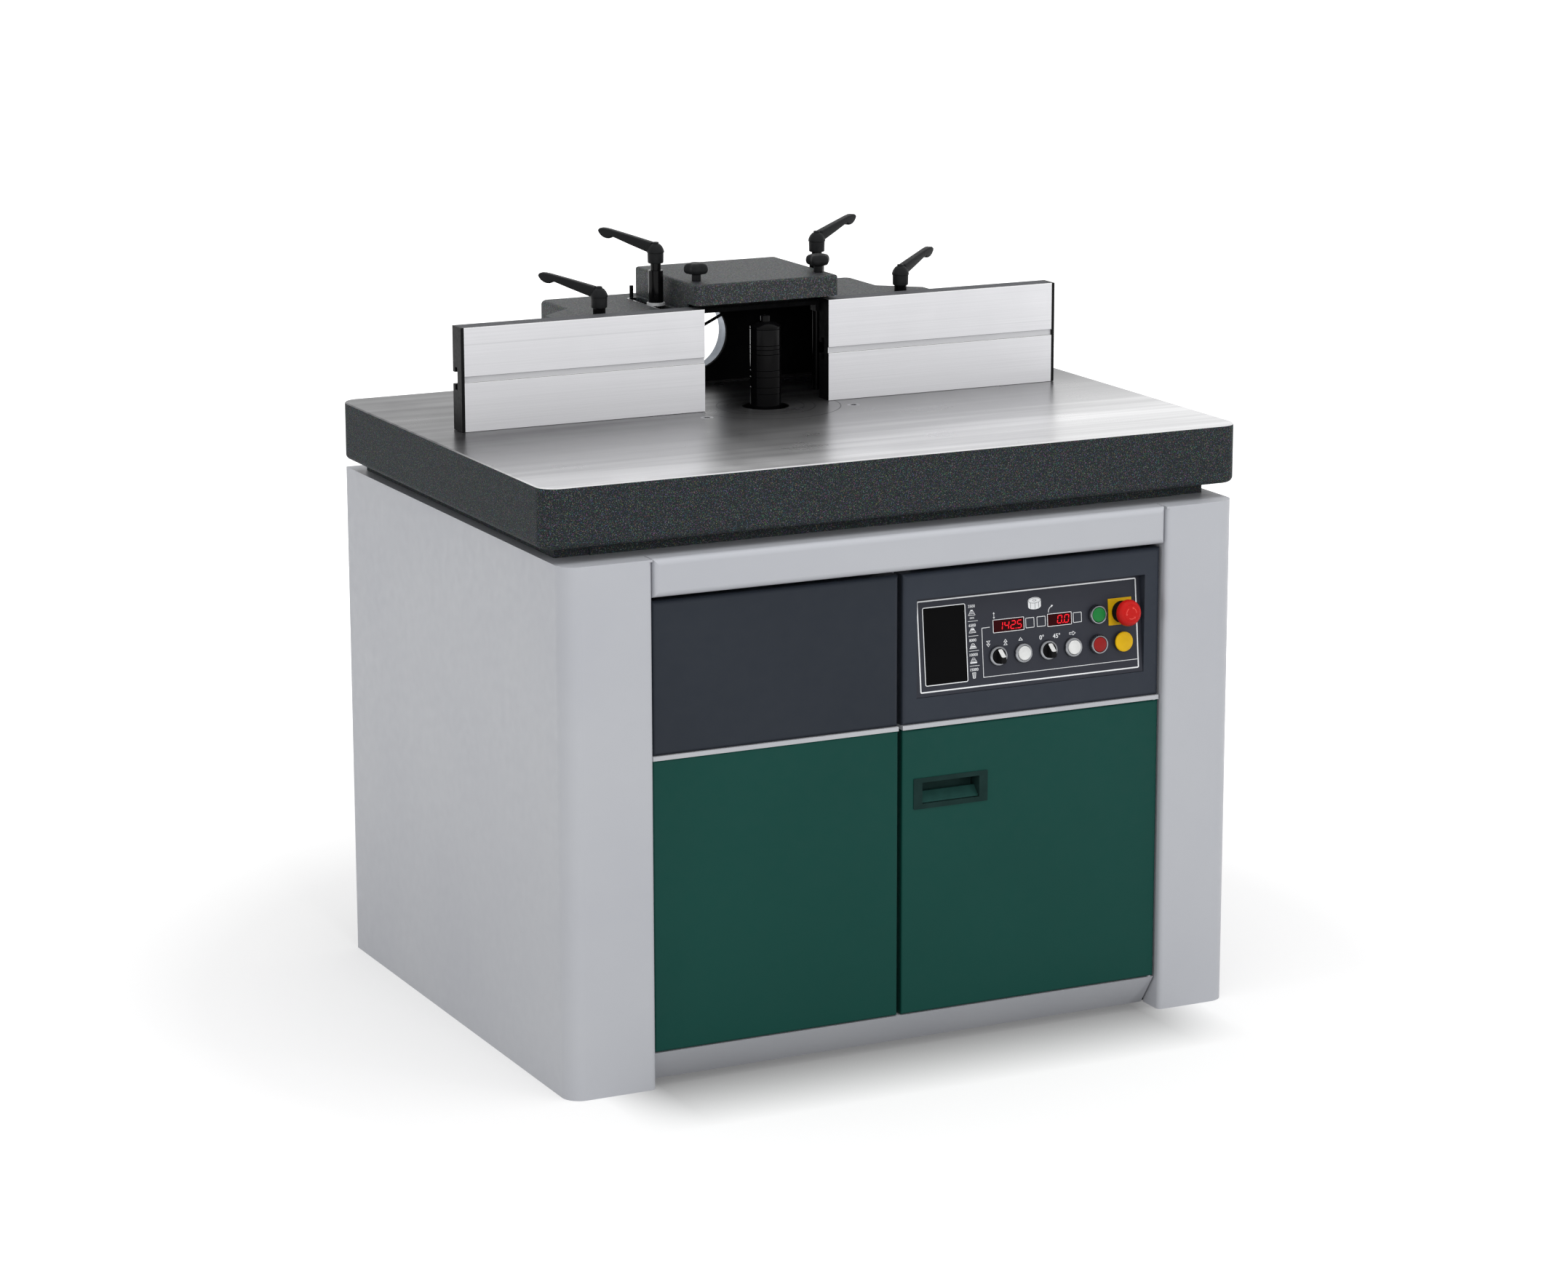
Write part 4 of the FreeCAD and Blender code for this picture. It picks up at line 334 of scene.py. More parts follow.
SPINDLE_CAP = [
    (0, 1010), (23.1, 1010), (23.75, 1010.6), (23.75, 1013.4), (23.4, 1014), (15, 1019.7),
    (14.2, 1020), (7.5, 1020), (7.5, 1029.1), (6.8, 1029.9), (4.3, 1029.9), (4, 1029.5), (4, 1023),
    (0, 1023)]
bm = bmesh.new()
turned(bm, SPINDLE_CAP)
axis = Matrix.Translation(Vector(SPINDLE_AXIS) * 1000)
piece("spindle_cap_nut", bm, blued_steel, "spindle", "black_steel", "spindle_cap", at=axis)

# Dust hood and its cover: folded steel sheet with the table's texture paint, and painted shade, near
# black, on the faces that look inward and on the cut edges that face forward at the mouth. The
# extraction port behind is a rolled tube. A pressed rim lines each slot for the clamping posts, and
# rubber strips seal the hood's foot and the hatch under the cover.
HOOD_MIDDLE = (-0.007, 0.19, 0.95)
COVER_MIDDLE = (0.002, 0.172, 1.055)
HOOD_MOUTH = 0.0925
COVER_MOUTH = 0.0


def hood_paint(name, centre, mouth):
    """Texture paint outside; near-black painted shade on inward faces and on forward edges at the
    mouth.
    """
    material, tree, outside, place = surface(name, 0.0, 0.3)
    stone_coat(tree, outside, place, (30, 34, 36), (84, 88, 92))
    facing = tree.nodes.new("ShaderNodeTexCoord").outputs["Normal"]
    away = step(tree, "VectorMath", {0: place, 1: centre}, operation="SUBTRACT").outputs["Vector"]
    outward = step(tree, "VectorMath", {0: facing, 1: away}, operation="DOT_PRODUCT").outputs["Value"]
    inner = step(tree, "Math", {0: outward, 1: 0.0}, operation="LESS_THAN").outputs["Value"]
    forward = step(tree, "SeparateXYZ", {"Vector": facing}).outputs["Y"]
    ahead = step(tree, "Math", {0: forward, 1: -0.9}, operation="LESS_THAN").outputs["Value"]
    depth = step(tree, "SeparateXYZ", {"Vector": place}).outputs["Y"]
    near = step(tree, "Math", {0: depth, 1: mouth}, operation="LESS_THAN").outputs["Value"]
    edge = step(tree, "Math", {0: ahead, 1: near}, operation="MULTIPLY").outputs["Value"]
    # Painted shade: inward faces and the forward cut edges at the mouth take a near-black shader, with
    # a slight random cloud, instead of the paint.
    hood_shade_share = step(tree, "Math", {0: inner, 1: edge}, operation="MAXIMUM").outputs["Value"]
    hood_shade_shader = tree.nodes.new("ShaderNodeBsdfPrincipled")
    hood_shade_shader.inputs["Specular IOR Level"].default_value = 0.05
    hood_shade_cloud = spread(tree, noise(tree, place, 30.0, 4.0), 0.0, 1.0)
    tree.links.new(blended(tree, hood_shade_cloud, tone(7, 7, 8), tone(15, 15, 16)), hood_shade_shader.inputs["Base Color"])
    tree.links.new(spread(tree, noise(tree, place, 200.0), 0.7, 0.85), hood_shade_shader.inputs["Roughness"])
    mixed(tree, hood_shade_share, outside, hood_shade_shader)
    return material


coat(hood_paint("hood_texture_paint", HOOD_MIDDLE, HOOD_MOUTH), "fence_hood")
coat(hood_paint("cover_texture_paint", COVER_MIDDLE, COVER_MOUTH), "hood_cover")
coat(machined("port_steel", (128, 134, 142), 0.36), "extraction_port")
coat(painted("fitting_black", (10, 10, 11), (14, 14, 15), 0.45, 0.0001, 0.08), "hood_fittings")


def rim_only(bm, faces, line):
    """Keeps a border of flat faces, as wide as the line, and opens their middle."""
    bm.normal_update()
    bmesh.ops.inset_region(bm, faces=faces, thickness=line, use_even_offset=True, use_boundary=True)
    bmesh.ops.delete(bm, geom=faces, context="FACES")


def outline(bm, left, low, right, high, line, corner):
    """A flat frame with rounded corners, its line as wide as given."""
    made = bmesh.ops.create_grid(bm, x_segments=1, y_segments=1, size=0.5)["verts"]
    bmesh.ops.scale(bm, vec=(right - left, high - low, 1), verts=made)
    bmesh.ops.translate(bm, vec=((left + right) / 2, (low + high) / 2, 0), verts=made)
    cut = bmesh.ops.bevel(
        bm, geom=made, offset=corner, segments=6, profile=0.5, affect="VERTICES", material=-1)
    rim_only(bm, list({f for v in cut["verts"] for f in v.link_faces}), line)


def thickened(bm, depth):
    """Gives all flat shapes drawn so far a small thickness."""
    grown = bmesh.ops.extrude_face_region(bm, geom=list(bm.faces))["geom"]
    raised = [g for g in grown if isinstance(g, bmesh.types.BMVert)]
    bmesh.ops.translate(bm, verts=raised, vec=(0, 0, depth))


HOOD_TOP = 1041
HOOD_FOOT = 890.5
HOOD_CENTRE = -7
POST_OFFSET = 137.5
SLOT_HALF, SLOT_FRONT, SLOT_BACK = 13, 102, 252
bm = bmesh.new()
for side in (-1, 1):
    middle = POST_OFFSET * side
    outline(bm, middle - SLOT_HALF, SLOT_FRONT, middle + SLOT_HALF, SLOT_BACK, 2.6, 12.6)
thickened(bm, 0.2)
piece("slot_rims", bm, bright_steel, "fence", "steel", at=Matrix.Translation((0, 0, HOOD_TOP)))

HATCH = (-97, 112, 101, 262)
seal_rubber = rubber("seal_rubber", (12, 12, 13))
bm = bmesh.new()
outline(bm, *HATCH, 4, 6)
thickened(bm, 9)
on_hood = Matrix.Translation((0, 0, HOOD_TOP))
piece("hatch_seal", bm, seal_rubber, "fence", "belt_rubber", at=on_hood)

SEAL_OUTSIDE = [(320.8, 100), (320.8, 141.8), (262.8, 191.8), (262.8, 290.8)]
SEAL_INSIDE = [(316.8, 100), (316.8, 140), (258.8, 190), (258.8, 286.8)]
SEAL_SINK = 0.4
bm = bmesh.new()
plan = SEAL_OUTSIDE + [(-x, y) for x, y in reversed(SEAL_OUTSIDE)]
plan += [(-x, y) for x, y in SEAL_INSIDE] + list(reversed(SEAL_INSIDE))
bm.faces.new([bm.verts.new((HOOD_CENTRE + x, y, 0)) for x, y in plan])
thickened(bm, 3)
at_foot = Matrix.Translation((0, 0, HOOD_FOOT - SEAL_SINK))
piece("hood_seal", bm, seal_rubber, "fence", "belt_rubber", at=at_foot)

# Clamping posts: black turned sleeves on studs that rise from the table through the hood's slots,
# each with a zinc-plated washer that bears on the hood.
WASHER_LEVEL, WASHER_HALF = 1.0434, 0.0023
material, tree, sleeve, place = oiled_steel("black_sleeve_steel", (6, 6, 7), 0.12)
washer = tree.nodes.new("ShaderNodeBsdfPrincipled")
washer.inputs["Metallic"].default_value = 0.5
patches = spread(tree, noise(tree, place, 60.0), 0.0, 1.0)
zinc = blended(tree, patches, tone(206, 207, 208), tone(194, 195, 197))
tree.links.new(zinc, washer.inputs["Base Color"])
tree.links.new(spread(tree, noise(tree, place, 200.0), 0.35, 0.5), washer.inputs["Roughness"])
level = step(tree, "SeparateXYZ", {"Vector": place}).outputs["Z"]
mixed(tree, band(tree, level, WASHER_LEVEL, WASHER_HALF), sleeve, washer)
coat(material, "clamp_posts")

# Fence plates: two extruded aluminium profiles with a shallow groove along the face, brushed along
# their length and anodised clear. Painted shade darkens the groove and the top, and makes the sawn
# ends and the slot near black. Painted highlights line the groove's foot and the top edge. The outer
# ends have moulded caps.
GROOVE = (0.964, 0.973)
PLATE_TOP = 1.0465
SLOT_DEPTH = (0.0765, 0.0138)


def beyond(tree, value, limit):
    """1 above a limit, else 0."""
    return step(tree, "Math", {0: value, 1: limit}, operation="GREATER_THAN").outputs["Value"]


def extruded(name, colour, rough):
    """Anodised extrusion, die lines along X; painted edge highlights; painted shade on groove, top,
    ends.
    """
    material, tree, shader, place = surface(name, 0.3)
    lines = noise(tree, place, 1.0, 4.0, (3.0, 900.0, 900.0))
    strong = noise(tree, place, 1.0, 1.0, (0.4, 0.0, 120.0))
    darker = tuple(value * 0.965 for value in colour)
    fine = blended(tree, spread(tree, lines, 0.0, 1.0), tone(*colour), tone(*darker))
    scored_and_painted_light = blended(tree, spread(tree, strong, 0.0, 0.3, 0.66, 0.72), fine, tone(156, 157, 160))
    parts = step(tree, "SeparateXYZ", {"Vector": place})
    level = parts.outputs["Z"]
    # Painted shade and highlights: the groove is shaded darker, with a dark line at its top, and bright
    # painted highlight lines run along its foot and along the plate's top edge.
    in_groove = band(tree, level, sum(GROOVE) / 2, (GROOVE[1] - GROOVE[0]) / 2)
    shaded = step(tree, "Math", {0: in_groove, 1: 0.3}, operation="MULTIPLY").outputs["Value"]
    scored_and_painted_light = blended(tree, shaded, scored_and_painted_light, tone(166, 167, 170))
    scored_and_painted_light = blended(tree, band(tree, level, GROOVE[1], 0.0005), scored_and_painted_light, tone(146, 147, 150))
    for edge in (GROOVE[0], PLATE_TOP - 0.0006):
        scored_and_painted_light = blended(tree, band(tree, level, edge, 0.0007), scored_and_painted_light, tone(240, 240, 241))
    tree.links.new(scored_and_painted_light, shader.inputs["Base Color"])
    sheen = spread(tree, noise(tree, place, 20.0, 3.0), rough - 0.04, rough + 0.05)
    tree.links.new(sheen, shader.inputs["Roughness"])
    bumped(tree, shader, lines, 0.00002, 0.4)
    # Painted shade: the top face gets a duller grey, and the sawn ends and the slot's hollow are near
    # black, through the second shader that dull names.
    normal = tree.nodes.new("ShaderNodeTexCoord").outputs["Normal"]
    facing = step(tree, "SeparateXYZ", {"Vector": normal})
    sideways = step(tree, "Math", {0: facing.outputs["X"]}, operation="ABSOLUTE").outputs["Value"]
    sawn = beyond(tree, sideways, 0.9)
    upper = beyond(tree, facing.outputs["Z"], 0.9)
    dull = tree.nodes.new("ShaderNodeBsdfPrincipled")
    dull.inputs["Specular IOR Level"].default_value = 0.03
    painted_top_shade = blended(tree, spread(tree, lines, 0.0, 1.0), tone(92, 93, 96), tone(78, 79, 82))
    tree.links.new(spread(tree, noise(tree, place, 120.0), 0.5, 0.65), dull.inputs["Roughness"])
    deep = band(tree, parts.outputs["Y"], *SLOT_DEPTH)
    below = step(tree, "Math", {0: level, 1: PLATE_TOP - 0.001}, operation="LESS_THAN").outputs["Value"]
    in_slot = step(tree, "Math", {0: deep, 1: below}, operation="MULTIPLY").outputs["Value"]
    ends = step(tree, "Math", {0: sawn, 1: in_slot}, operation="MAXIMUM").outputs["Value"]
    tree.links.new(blended(tree, ends, painted_top_shade, tone(11, 11, 12)), dull.inputs["Base Color"])
    painted_shade_share = step(tree, "Math", {0: ends, 1: upper}, operation="MAXIMUM").outputs["Value"]
    mixed(tree, painted_shade_share, shader, dull)
    return material


def moulded(name, colour, rough, grain=0.00012, specular=0.5):
    """Moulded plastic: even colour with a fine spark-eroded grain."""
    material, tree, shader, place = surface(name, 0.0, specular)
    paler = tuple(min(255, value * 1.08 + 2) for value in colour)
    cloud = spread(tree, noise(tree, place, 45.0, 3.0), 0.0, 1.0)
    tree.links.new(blended(tree, cloud, tone(*colour), tone(*paler)), shader.inputs["Base Color"])
    sheen = spread(tree, noise(tree, place, 240.0), rough - 0.05, rough + 0.06)
    tree.links.new(sheen, shader.inputs["Roughness"])
    bumped(tree, shader, noise(tree, place, 1100.0), grain, 0.4)
    return material


coat(extruded("anodised_aluminium", (228, 228, 231), 0.48), "left_fence_plate", "right_fence_plate")
black_moulding = moulded("black_moulding", (19, 19, 20), 0.4, 0.0001, 0.06)
coat(black_moulding, "left_fence_cap", "right_fence_cap")

# Clamping levers: glass-filled nylon arms on a steel stud, with a stepped hub, a finger grip at the
# end and a socket screw on top. Two clamp the fence plates, two clamp the fence to its posts.


def drawn_out(bm, points, width):
    """Adds a side view, as points along and up, drawn out evenly to both sides."""
    side = bm.faces.new([bm.verts.new((x, -width / 2, z)) for x, z in points])
    grown = bmesh.ops.extrude_face_region(bm, geom=[side])["geom"]
    far = [g for g in grown if isinstance(g, bmesh.types.BMVert)]
    bmesh.ops.translate(bm, verts=far, vec=(0, width, 0))
    return set(far) | set(side.verts)


LEVER_ARM = [
    (4, 13.4), (14.5, 17), (46, 26.6), (72, 35), (75, 35.6), (77.4, 33.8), (80.4, 32.6), (85, 32.6),
    (90, 34), (94.4, 36.8), (97.8, 40.6), (99.4, 44), (98.6, 46.8), (95, 48.2), (89, 48.2), (80, 47),
    (40, 38.9), (5, 31.4)]
LEVER_HUB = [
    (0, 0), (11.2, 0), (11.9, 0.6), (12.1, 2), (12.4, 15), (12.2, 15.8), (13.2, 16.2), (13.4, 17.2),
    (12.9, 19.6), (11.8, 22.6), (10, 25.6), (8, 28), (6, 29.2), (5.2, 29.4)]
LEVER_SCREW = [(5.2, 29.4), (5.2, 31.2), (4.7, 32), (2.8, 32), (2.8, 29.6), (0, 29.6)]
LEVER_WIDTH = 13
LEVER_WAIST = 70
CORNER = 0.9


def clamping_lever(name, centre, turn, stud=None):
    """A lever whose arm narrows to its waist and widens to the grip; a stud goes down from its hub."""
    bm = bmesh.new()
    arm = drawn_out(bm, LEVER_ARM, LEVER_WIDTH)
    for vertex in arm:
        narrowed = 0.2 * min(1.0, vertex.co.x / LEVER_WAIST)
        widened = 0.16 * max(0.0, (vertex.co.x - LEVER_WAIST) / 30)
        vertex.co.y *= 1.04 - narrowed + widened
    edges = {e for v in arm for e in v.link_edges if e.calc_face_angle(0) > CORNER}
    bmesh.ops.bevel(
        bm, geom=list(edges), offset=2.4, segments=4, profile=0.5, affect="EDGES", material=-1,
        clamp_overlap=True)
    turned(bm, LEVER_HUB)
    turned(bm, LEVER_SCREW, 24)
    place = Matrix.Translation(centre) @ Matrix.Rotation(math.radians(turn), 4, "Z")
    piece(name + "_moulding", bm, lever_plastic, name, "black_plastic", name, at=place)
    if stud:
        bm = bmesh.new()
        turned(bm, stud, 32)
        piece(name + "_stud", bm, stud_steel, name, "black_steel", at=place)


lever_plastic = moulded("lever_plastic", (25, 26, 27), 0.42, 0.00016, 0.1)
stud_steel = oiled_steel("black_stud_steel", (6, 6, 7), 0.12)[0]
FENCE_STUD = [(0, -34), (7.9, -34), (7.9, -11.6), (9.5, -11.6), (9.6, -11), (9.6, -0.1), (0, -0.1)]
FENCE_OFFSET = 256
FENCE_HUB, POST_HUB = (110, 1053), (164, 1106)
clamping_lever("left_fence_lever", (-FENCE_OFFSET, *FENCE_HUB), 131, FENCE_STUD)
clamping_lever("right_fence_lever", (FENCE_OFFSET, *FENCE_HUB), 34, FENCE_STUD)
clamping_lever("left_post_lever", (-POST_OFFSET, *POST_HUB), 125)
clamping_lever("right_post_lever", (POST_OFFSET, *POST_HUB), 28)

# Star knobs: five-lobed nylon mouldings, each on a bolt with a turned neck. They screw down into nuts
# in the hood and hold its cover.
KNOB = [
    (0, 0), (7, 0), (7.1, 1), (6.9, 9), (8.4, 10.3), (12, 10.6), (15.6, 11.6), (17.8, 13.8),
    (18.7, 17.2), (18.6, 20.4), (17.6, 23.6), (15, 26), (11, 27.3), (7, 27.4), (4.6, 26.9), (0, 26.8)]
LOBES = 5


def star_knob(name, centre, turn):
    """A turned knob whose head is then drawn out into lobes."""
    bm = bmesh.new()
    turned(bm, KNOB, 80)
    for vertex in bm.verts:
        radius = math.hypot(vertex.co.x, vertex.co.y)
        share = min(1.0, max(0.0, (radius - 8) / 8))
        angle = math.atan2(vertex.co.y, vertex.co.x)
        swell = 1 + share * (0.12 * math.cos(LOBES * angle) - 0.09)
        vertex.co.x *= swell
        vertex.co.y *= swell
    place = Matrix.Translation(centre) @ Matrix.Rotation(math.radians(turn), 4, "Z")
    piece(name + "_moulding", bm, lever_plastic, name, "black_plastic", name, at=place)


KNOB_SEAT = (101, 1084.3)
star_knob("left_star_knob", (-98.5, *KNOB_SEAT), 20)
star_knob("right_star_knob", (108.5, *KNOB_SEAT), 5)

# Door latch: a moulded cup set into the door's sheet, with a sprung paddle behind its lower lip, both
# of a dark green-grey plastic.
coat(moulded("handle_moulding", (27, 46, 44), 0.5, 0.0001, 0.04), "door_handle")
coat(moulded("paddle_moulding", (30, 61, 57), 0.5, 0.0001, 0.04), "latch_paddle")

# Control plate: anodised sheet printed dark grey, tilted back in its recess. White lines, figures
# and small pictures of the drive are printed on it.
PANEL_TILT = math.radians(6)
PLATE_ORIGIN = (-403, 530)
PLATE_FACE = 2.0
INK = 0.14


def on_plate(across, up, out=PLATE_FACE):
    """The place of a point on the tilted plate: across it, up it, and out from it."""
    rise, lean = math.cos(PANEL_TILT), math.sin(PANEL_TILT)
    turn = Matrix(((1, 0, 0, across), (0, lean, -rise, 0), (0, rise, lean, 0), (0, 0, 0, 1)))
    back, low = PLATE_ORIGIN
    shift = Vector((0, back + up * lean - out * rise, low + up * rise + out * lean))
    return Matrix.Translation(shift) @ turn


def printed(bm, points, line=0.0):
    """A flat printed shape from its corners; with a line width, only its border is kept."""
    face = bm.faces.new([bm.verts.new((x, y, 0)) for x, y in points])
    if line:
        rim_only(bm, [face], line)


def stroke(bm, start, end, width):
    """A straight printed line between two points."""
    run = Vector(end) - Vector(start)
    side = Vector((-run.y, run.x)).normalized() * width / 2
    start, end = Vector(start), Vector(end)
    printed(bm, [start - side, end - side, end + side, start + side])


def arrow_head(bm, across, up, width, height, line=0.9):
    """A printed triangle; a negative height points it down."""
    low = up - height / 2
    printed(bm, [(across - width / 2, low), (across + width / 2, low), (across, low + height)], line)


def round_spot(bm, across, up, wide, high, line=0.0, drop=0.0):
    """A printed oval or its rim; a drop draws its lower half out into a drum."""
    made = bmesh.ops.create_circle(bm, cap_ends=True, radius=1.0, segments=40)["verts"]
    face = list({f for v in made for f in v.link_faces})
    bmesh.ops.scale(bm, vec=(wide / 2, high / 2, 1), verts=made)
    bmesh.ops.translate(bm, vec=(across, up, 0), verts=made)
    bmesh.ops.translate(bm, vec=(0, -drop, 0), verts=[v for v in made if v.co.y < up - 0.001])
    if line:
        rim_only(bm, face, line)


def figures(bm, text, across, up, height):
    """Printed figures, their middle at a point of the plate."""
    curve = bpy.data.curves.new("figures", "FONT")
    curve.body = text
    curve.size = height * 1.4
    curve.align_x = "CENTER"
    curve.align_y = "CENTER"
    curve.extrude = INK / 2
    curve.offset = height * 0.012
    holder = bpy.data.objects.new("figures", curve)
    bpy.context.scene.collection.objects.link(holder)
    bpy.context.view_layer.update()
    flat = bpy.data.meshes.new_from_object(holder.evaluated_get(bpy.context.evaluated_depsgraph_get()))
    flat.transform(Matrix.Translation((across, up, INK / 2)))
    bm.from_mesh(flat)
    bpy.data.objects.remove(holder)
    bpy.data.curves.remove(curve)
    bpy.data.meshes.remove(flat)


coat(painted("plate_print", (44, 46, 54), (47, 49, 57), 0.42, 0.00004, 0.18), "control_plate")
print_white = moulded("white_print", (226, 228, 230), 0.55, 0.00002, 0.3)
bm = bmesh.new()
outline(bm, 22, 6, 391.2, 141.7, 1.9, 2.5)
for across in (208.7, 227.7, 289.1):
    outline(bm, across - 7.3, 84.5, across + 7.3, 99.8, 0.8, 1.2)
DRIVE_LINES = [((141.3, 92.2), (128, 92)), ((128, 92), (127.6, 19.2)), ((127.4, 19.2), (390, 19.4))]
for start, end in DRIVE_LINES:
    stroke(bm, start, end, 0.8)

SPEEDS = [("3500", 125.9, 116.5), ("6500", 97.6, 90.6), ("8000", 75.6, 67.4), ("10000", 54.1, 46.2)]
LIST = 112.2
for i, (_, _, picture) in enumerate(SPEEDS):
    for j, width in enumerate((3.6, 6.2, 8.8, 11.4)):
        high = 1.9 if i == j else 0.7
        across, low = width / 2, picture + 3.2 - 2.3 * j
        stroke(bm, (LIST - across, low), (LIST + across, low), high)
        if j:
            stroke(bm, (LIST - across + 1.2, low + 2), (LIST - across, low), 0.5)
            stroke(bm, (LIST + across - 1.2, low + 2), (LIST + across, low), 0.5)
for up in (104, 82, 60, 37.8):
    stroke(bm, (105.4, up), (121.6, up), 0.6)
printed(bm, [(LIST - 3.2, 28), (LIST - 2, 19.2), (LIST + 2, 19.2), (LIST + 3.2, 28)], 0.8)
for across in (-1.1, 0, 1.1):
    stroke(bm, (LIST + across, 20.4), (LIST + across, 27), 0.4)
for across in (-3, -1.5, 0, 1.5, 3):
    stroke(bm, (LIST + across, 107.4), (LIST + across, 110), 0.6)

for up in (65.4, 70):
    arrow_head(bm, 137.7, up, 6.8, -4.6, 0.7)
    arrow_head(bm, 166.4, up, 6.8, 4.6, 0.7)
arrow_head(bm, 191.9, 69.8, 7.6, 5, 0.8)
ARROW = [(-5.4, -1.5), (0.6, -1.5), (0.6, -3.4), (5.6, 0), (0.6, 3.4), (0.6, 1.5), (-5.4, 1.5)]
printed(bm, [(279.6 + x, 69.3 + y) for x, y in ARROW], 0.65)
stroke(bm, (148.8, 106), (148.8, 111.4), 0.7)
arrow_head(bm, 148.8, 112.4, 3.4, 2.6, 0.0)
arrow_head(bm, 148.8, 105, 3.4, -2.6, 0.0)
TILT_ARC = [(240.4, 104), (240.8, 107.6), (242.6, 110.8), (245.6, 113)]
for start, end in zip(TILT_ARC, TILT_ARC[1:]):
    stroke(bm, start, end, 0.9)
printed(bm, [(245, 114.8), (246.2, 111.4), (248.6, 114.4)])
round_spot(bm, 217.6, 124.4, 21.6, 9.4, 0.0, 8.6)
thickened(bm, INK)
for speed, up, _ in [*SPEEDS, ("15000", 32.1, 0)]:
    figures(bm, speed, LIST, up, 4.2)
figures(bm, "0°", 227.6, 68, 6.6)
figures(bm, "45°", 252.8, 67.8, 6.6)
piece("plate_print", bm, print_white, "cabinet", "white_plastic", at=on_plate(0, 0))
bm = bmesh.new()
round_spot(bm, 217.6, 124.2, 20.6, 8.2, 0.45)
round_spot(bm, 217.6, 124.6, 6.4, 2.8, 0.4)
for across, high, low in [(211, 121, 112.6), (218.4, 120, 111.6), (224.6, 121.4, 113)]:
    stroke(bm, (across, high), (across, low), 0.5)
thickened(bm, 0.1)
piece("cutter_picture", bm, slate_paint, "cabinet", "dark_paint", at=on_plate(0, 0, PLATE_FACE + INK))

# Panes: smoked acrylic sheets glued into the plate, one over a window and two over red digit
# displays. Each has a white printed border.
PANE_FACE = 2.6
DISPLAYS_FROM = 0.14


def pane_glass(name, colour, display_colour, display_from):
    """Smoked acrylic: near black over the window, deep red over the displays, with an even polish."""
    material, tree, shader, place = surface(name, 0.0, 0.04)
    cloud = spread(tree, noise(tree, place, 25.0), 0.0, 1.0)
    across = step(tree, "SeparateXYZ", {"Vector": place}).outputs["X"]
    red = step(tree, "Math", {0: across, 1: display_from}, operation="GREATER_THAN").outputs["Value"]
    pane = blended(tree, red, tone(*colour), tone(*display_colour))
    paler = tuple(value + 5 for value in colour)
    hazed = step(tree, "Math", {0: cloud, 1: 0.3}, operation="MULTIPLY").outputs["Value"]
    tree.links.new(blended(tree, hazed, pane, tone(*paler)), shader.inputs["Base Color"])
    tree.links.new(spread(tree, noise(tree, place, 60.0), 0.14, 0.24), shader.inputs["Roughness"])
    return material


coat(pane_glass("smoked_pane", (5, 5, 6), (52, 6, 9), DISPLAYS_FROM), "display_windows")
bm = bmesh.new()
outline(bm, 30.4, 15.6, 101.8, 131.6, 1.2, 3)
outline(bm, 146.2, 82.6, 198.6, 102.4, 0.8, 1)
outline(bm, 237.8, 82.8, 279, 102, 0.8, 1)
thickened(bm, INK)
piece("pane_borders", bm, print_white, "cabinet", "white_plastic", at=on_plate(0, 0, PANE_FACE))

SEGMENTS = {"0": "abcdef", "1": "bc", "2": "abged", "4": "fgbc", "5": "afgcd"}
SEGMENT_ENDS = {
    "a": ((-2.6, 5.6), (2.6, 5.6)), "g": ((-2.6, 0), (2.6, 0)), "d": ((-2.6, -5.6), (2.6, -5.6)),
    "f": ((-3.4, 0.7), (-3.4, 5.1)), "b": ((3.4, 0.7), (3.4, 5.1)), "e": ((-3.4, -5.1), (-3.4, -0.7)),
    "c": ((3.4, -5.1), (3.4, -0.7))}


def glowing(name, colour, strength):
    """Lit display segments, their glow varying a little from place to place."""
    material, tree, shader, place = surface(name, 0.0, 0.2)
    shader.inputs["Base Color"].default_value = tone(*colour)
    shader.inputs["Emission Color"].default_value = tone(*colour)
    glow = spread(tree, noise(tree, place, 300.0), strength * 0.85, strength)
    tree.links.new(glow, shader.inputs["Emission Strength"])
    tree.links.new(spread(tree, noise(tree, place, 90.0), 0.3, 0.4), shader.inputs["Roughness"])
    return material


def digits(bm, text, right, up, pitch):
    """Slanting seven-bar figures, written from the right."""
    for figure in reversed(text):
        if figure == ".":
            stroke(bm, (right + pitch / 2 - 1.2, up - 5.6), (right + pitch / 2 + 0.2, up - 5.6), 1.4)
            continue
        for part in SEGMENTS[figure]:
            ends = [(right + x + y * 0.14, up + y) for x, y in SEGMENT_ENDS[part]]
            stroke(bm, *ends, 1.25)
        right -= pitch


bm = bmesh.new()
digits(bm, "142.5", 190.6, 92.2, 10.6)
digits(bm, "0.0", 270.4, 92.4, 11.6)
thickened(bm, INK)
lit = glowing("lit_segments", (236, 26, 40), 0.85)
piece("display_digits", bm, lit, "cabinet", "red_plastic", at=on_plate(0, 0, PANE_FACE))

# Push buttons: bright turned bezels hold coloured moulded caps, low ones round the white buttons and
# the selectors, high ones round the red and the green. The yellow one is a broad lens without a bezel.
LOW_ROW, HIGH_ROW = 48.6, 93.2
COLUMNS = [153 + 42.2 * i for i in range(6)]
LOW_BEZEL = [
    (10.9, 0), (15, 0), (15, 1.4), (14.7, 3), (14, 4.2), (12.9, 4.9), (11.6, 5), (11.1, 4.7),
    (10.9, 4.2), (10.9, 0)]
HIGH_BEZEL = [
    (11.2, 0), (14.8, 0), (14.8, 1.6), (14.6, 5), (14, 7.2), (13.1, 8.4), (12, 8.6), (11.5, 8.2),
    (11.2, 7.6), (11.2, 0)]
chrome = machined("bright_bezel", (150, 152, 156), 0.28)
bm = bmesh.new()
BEZELS = [(column, LOW_ROW, LOW_BEZEL) for column in range(4)]
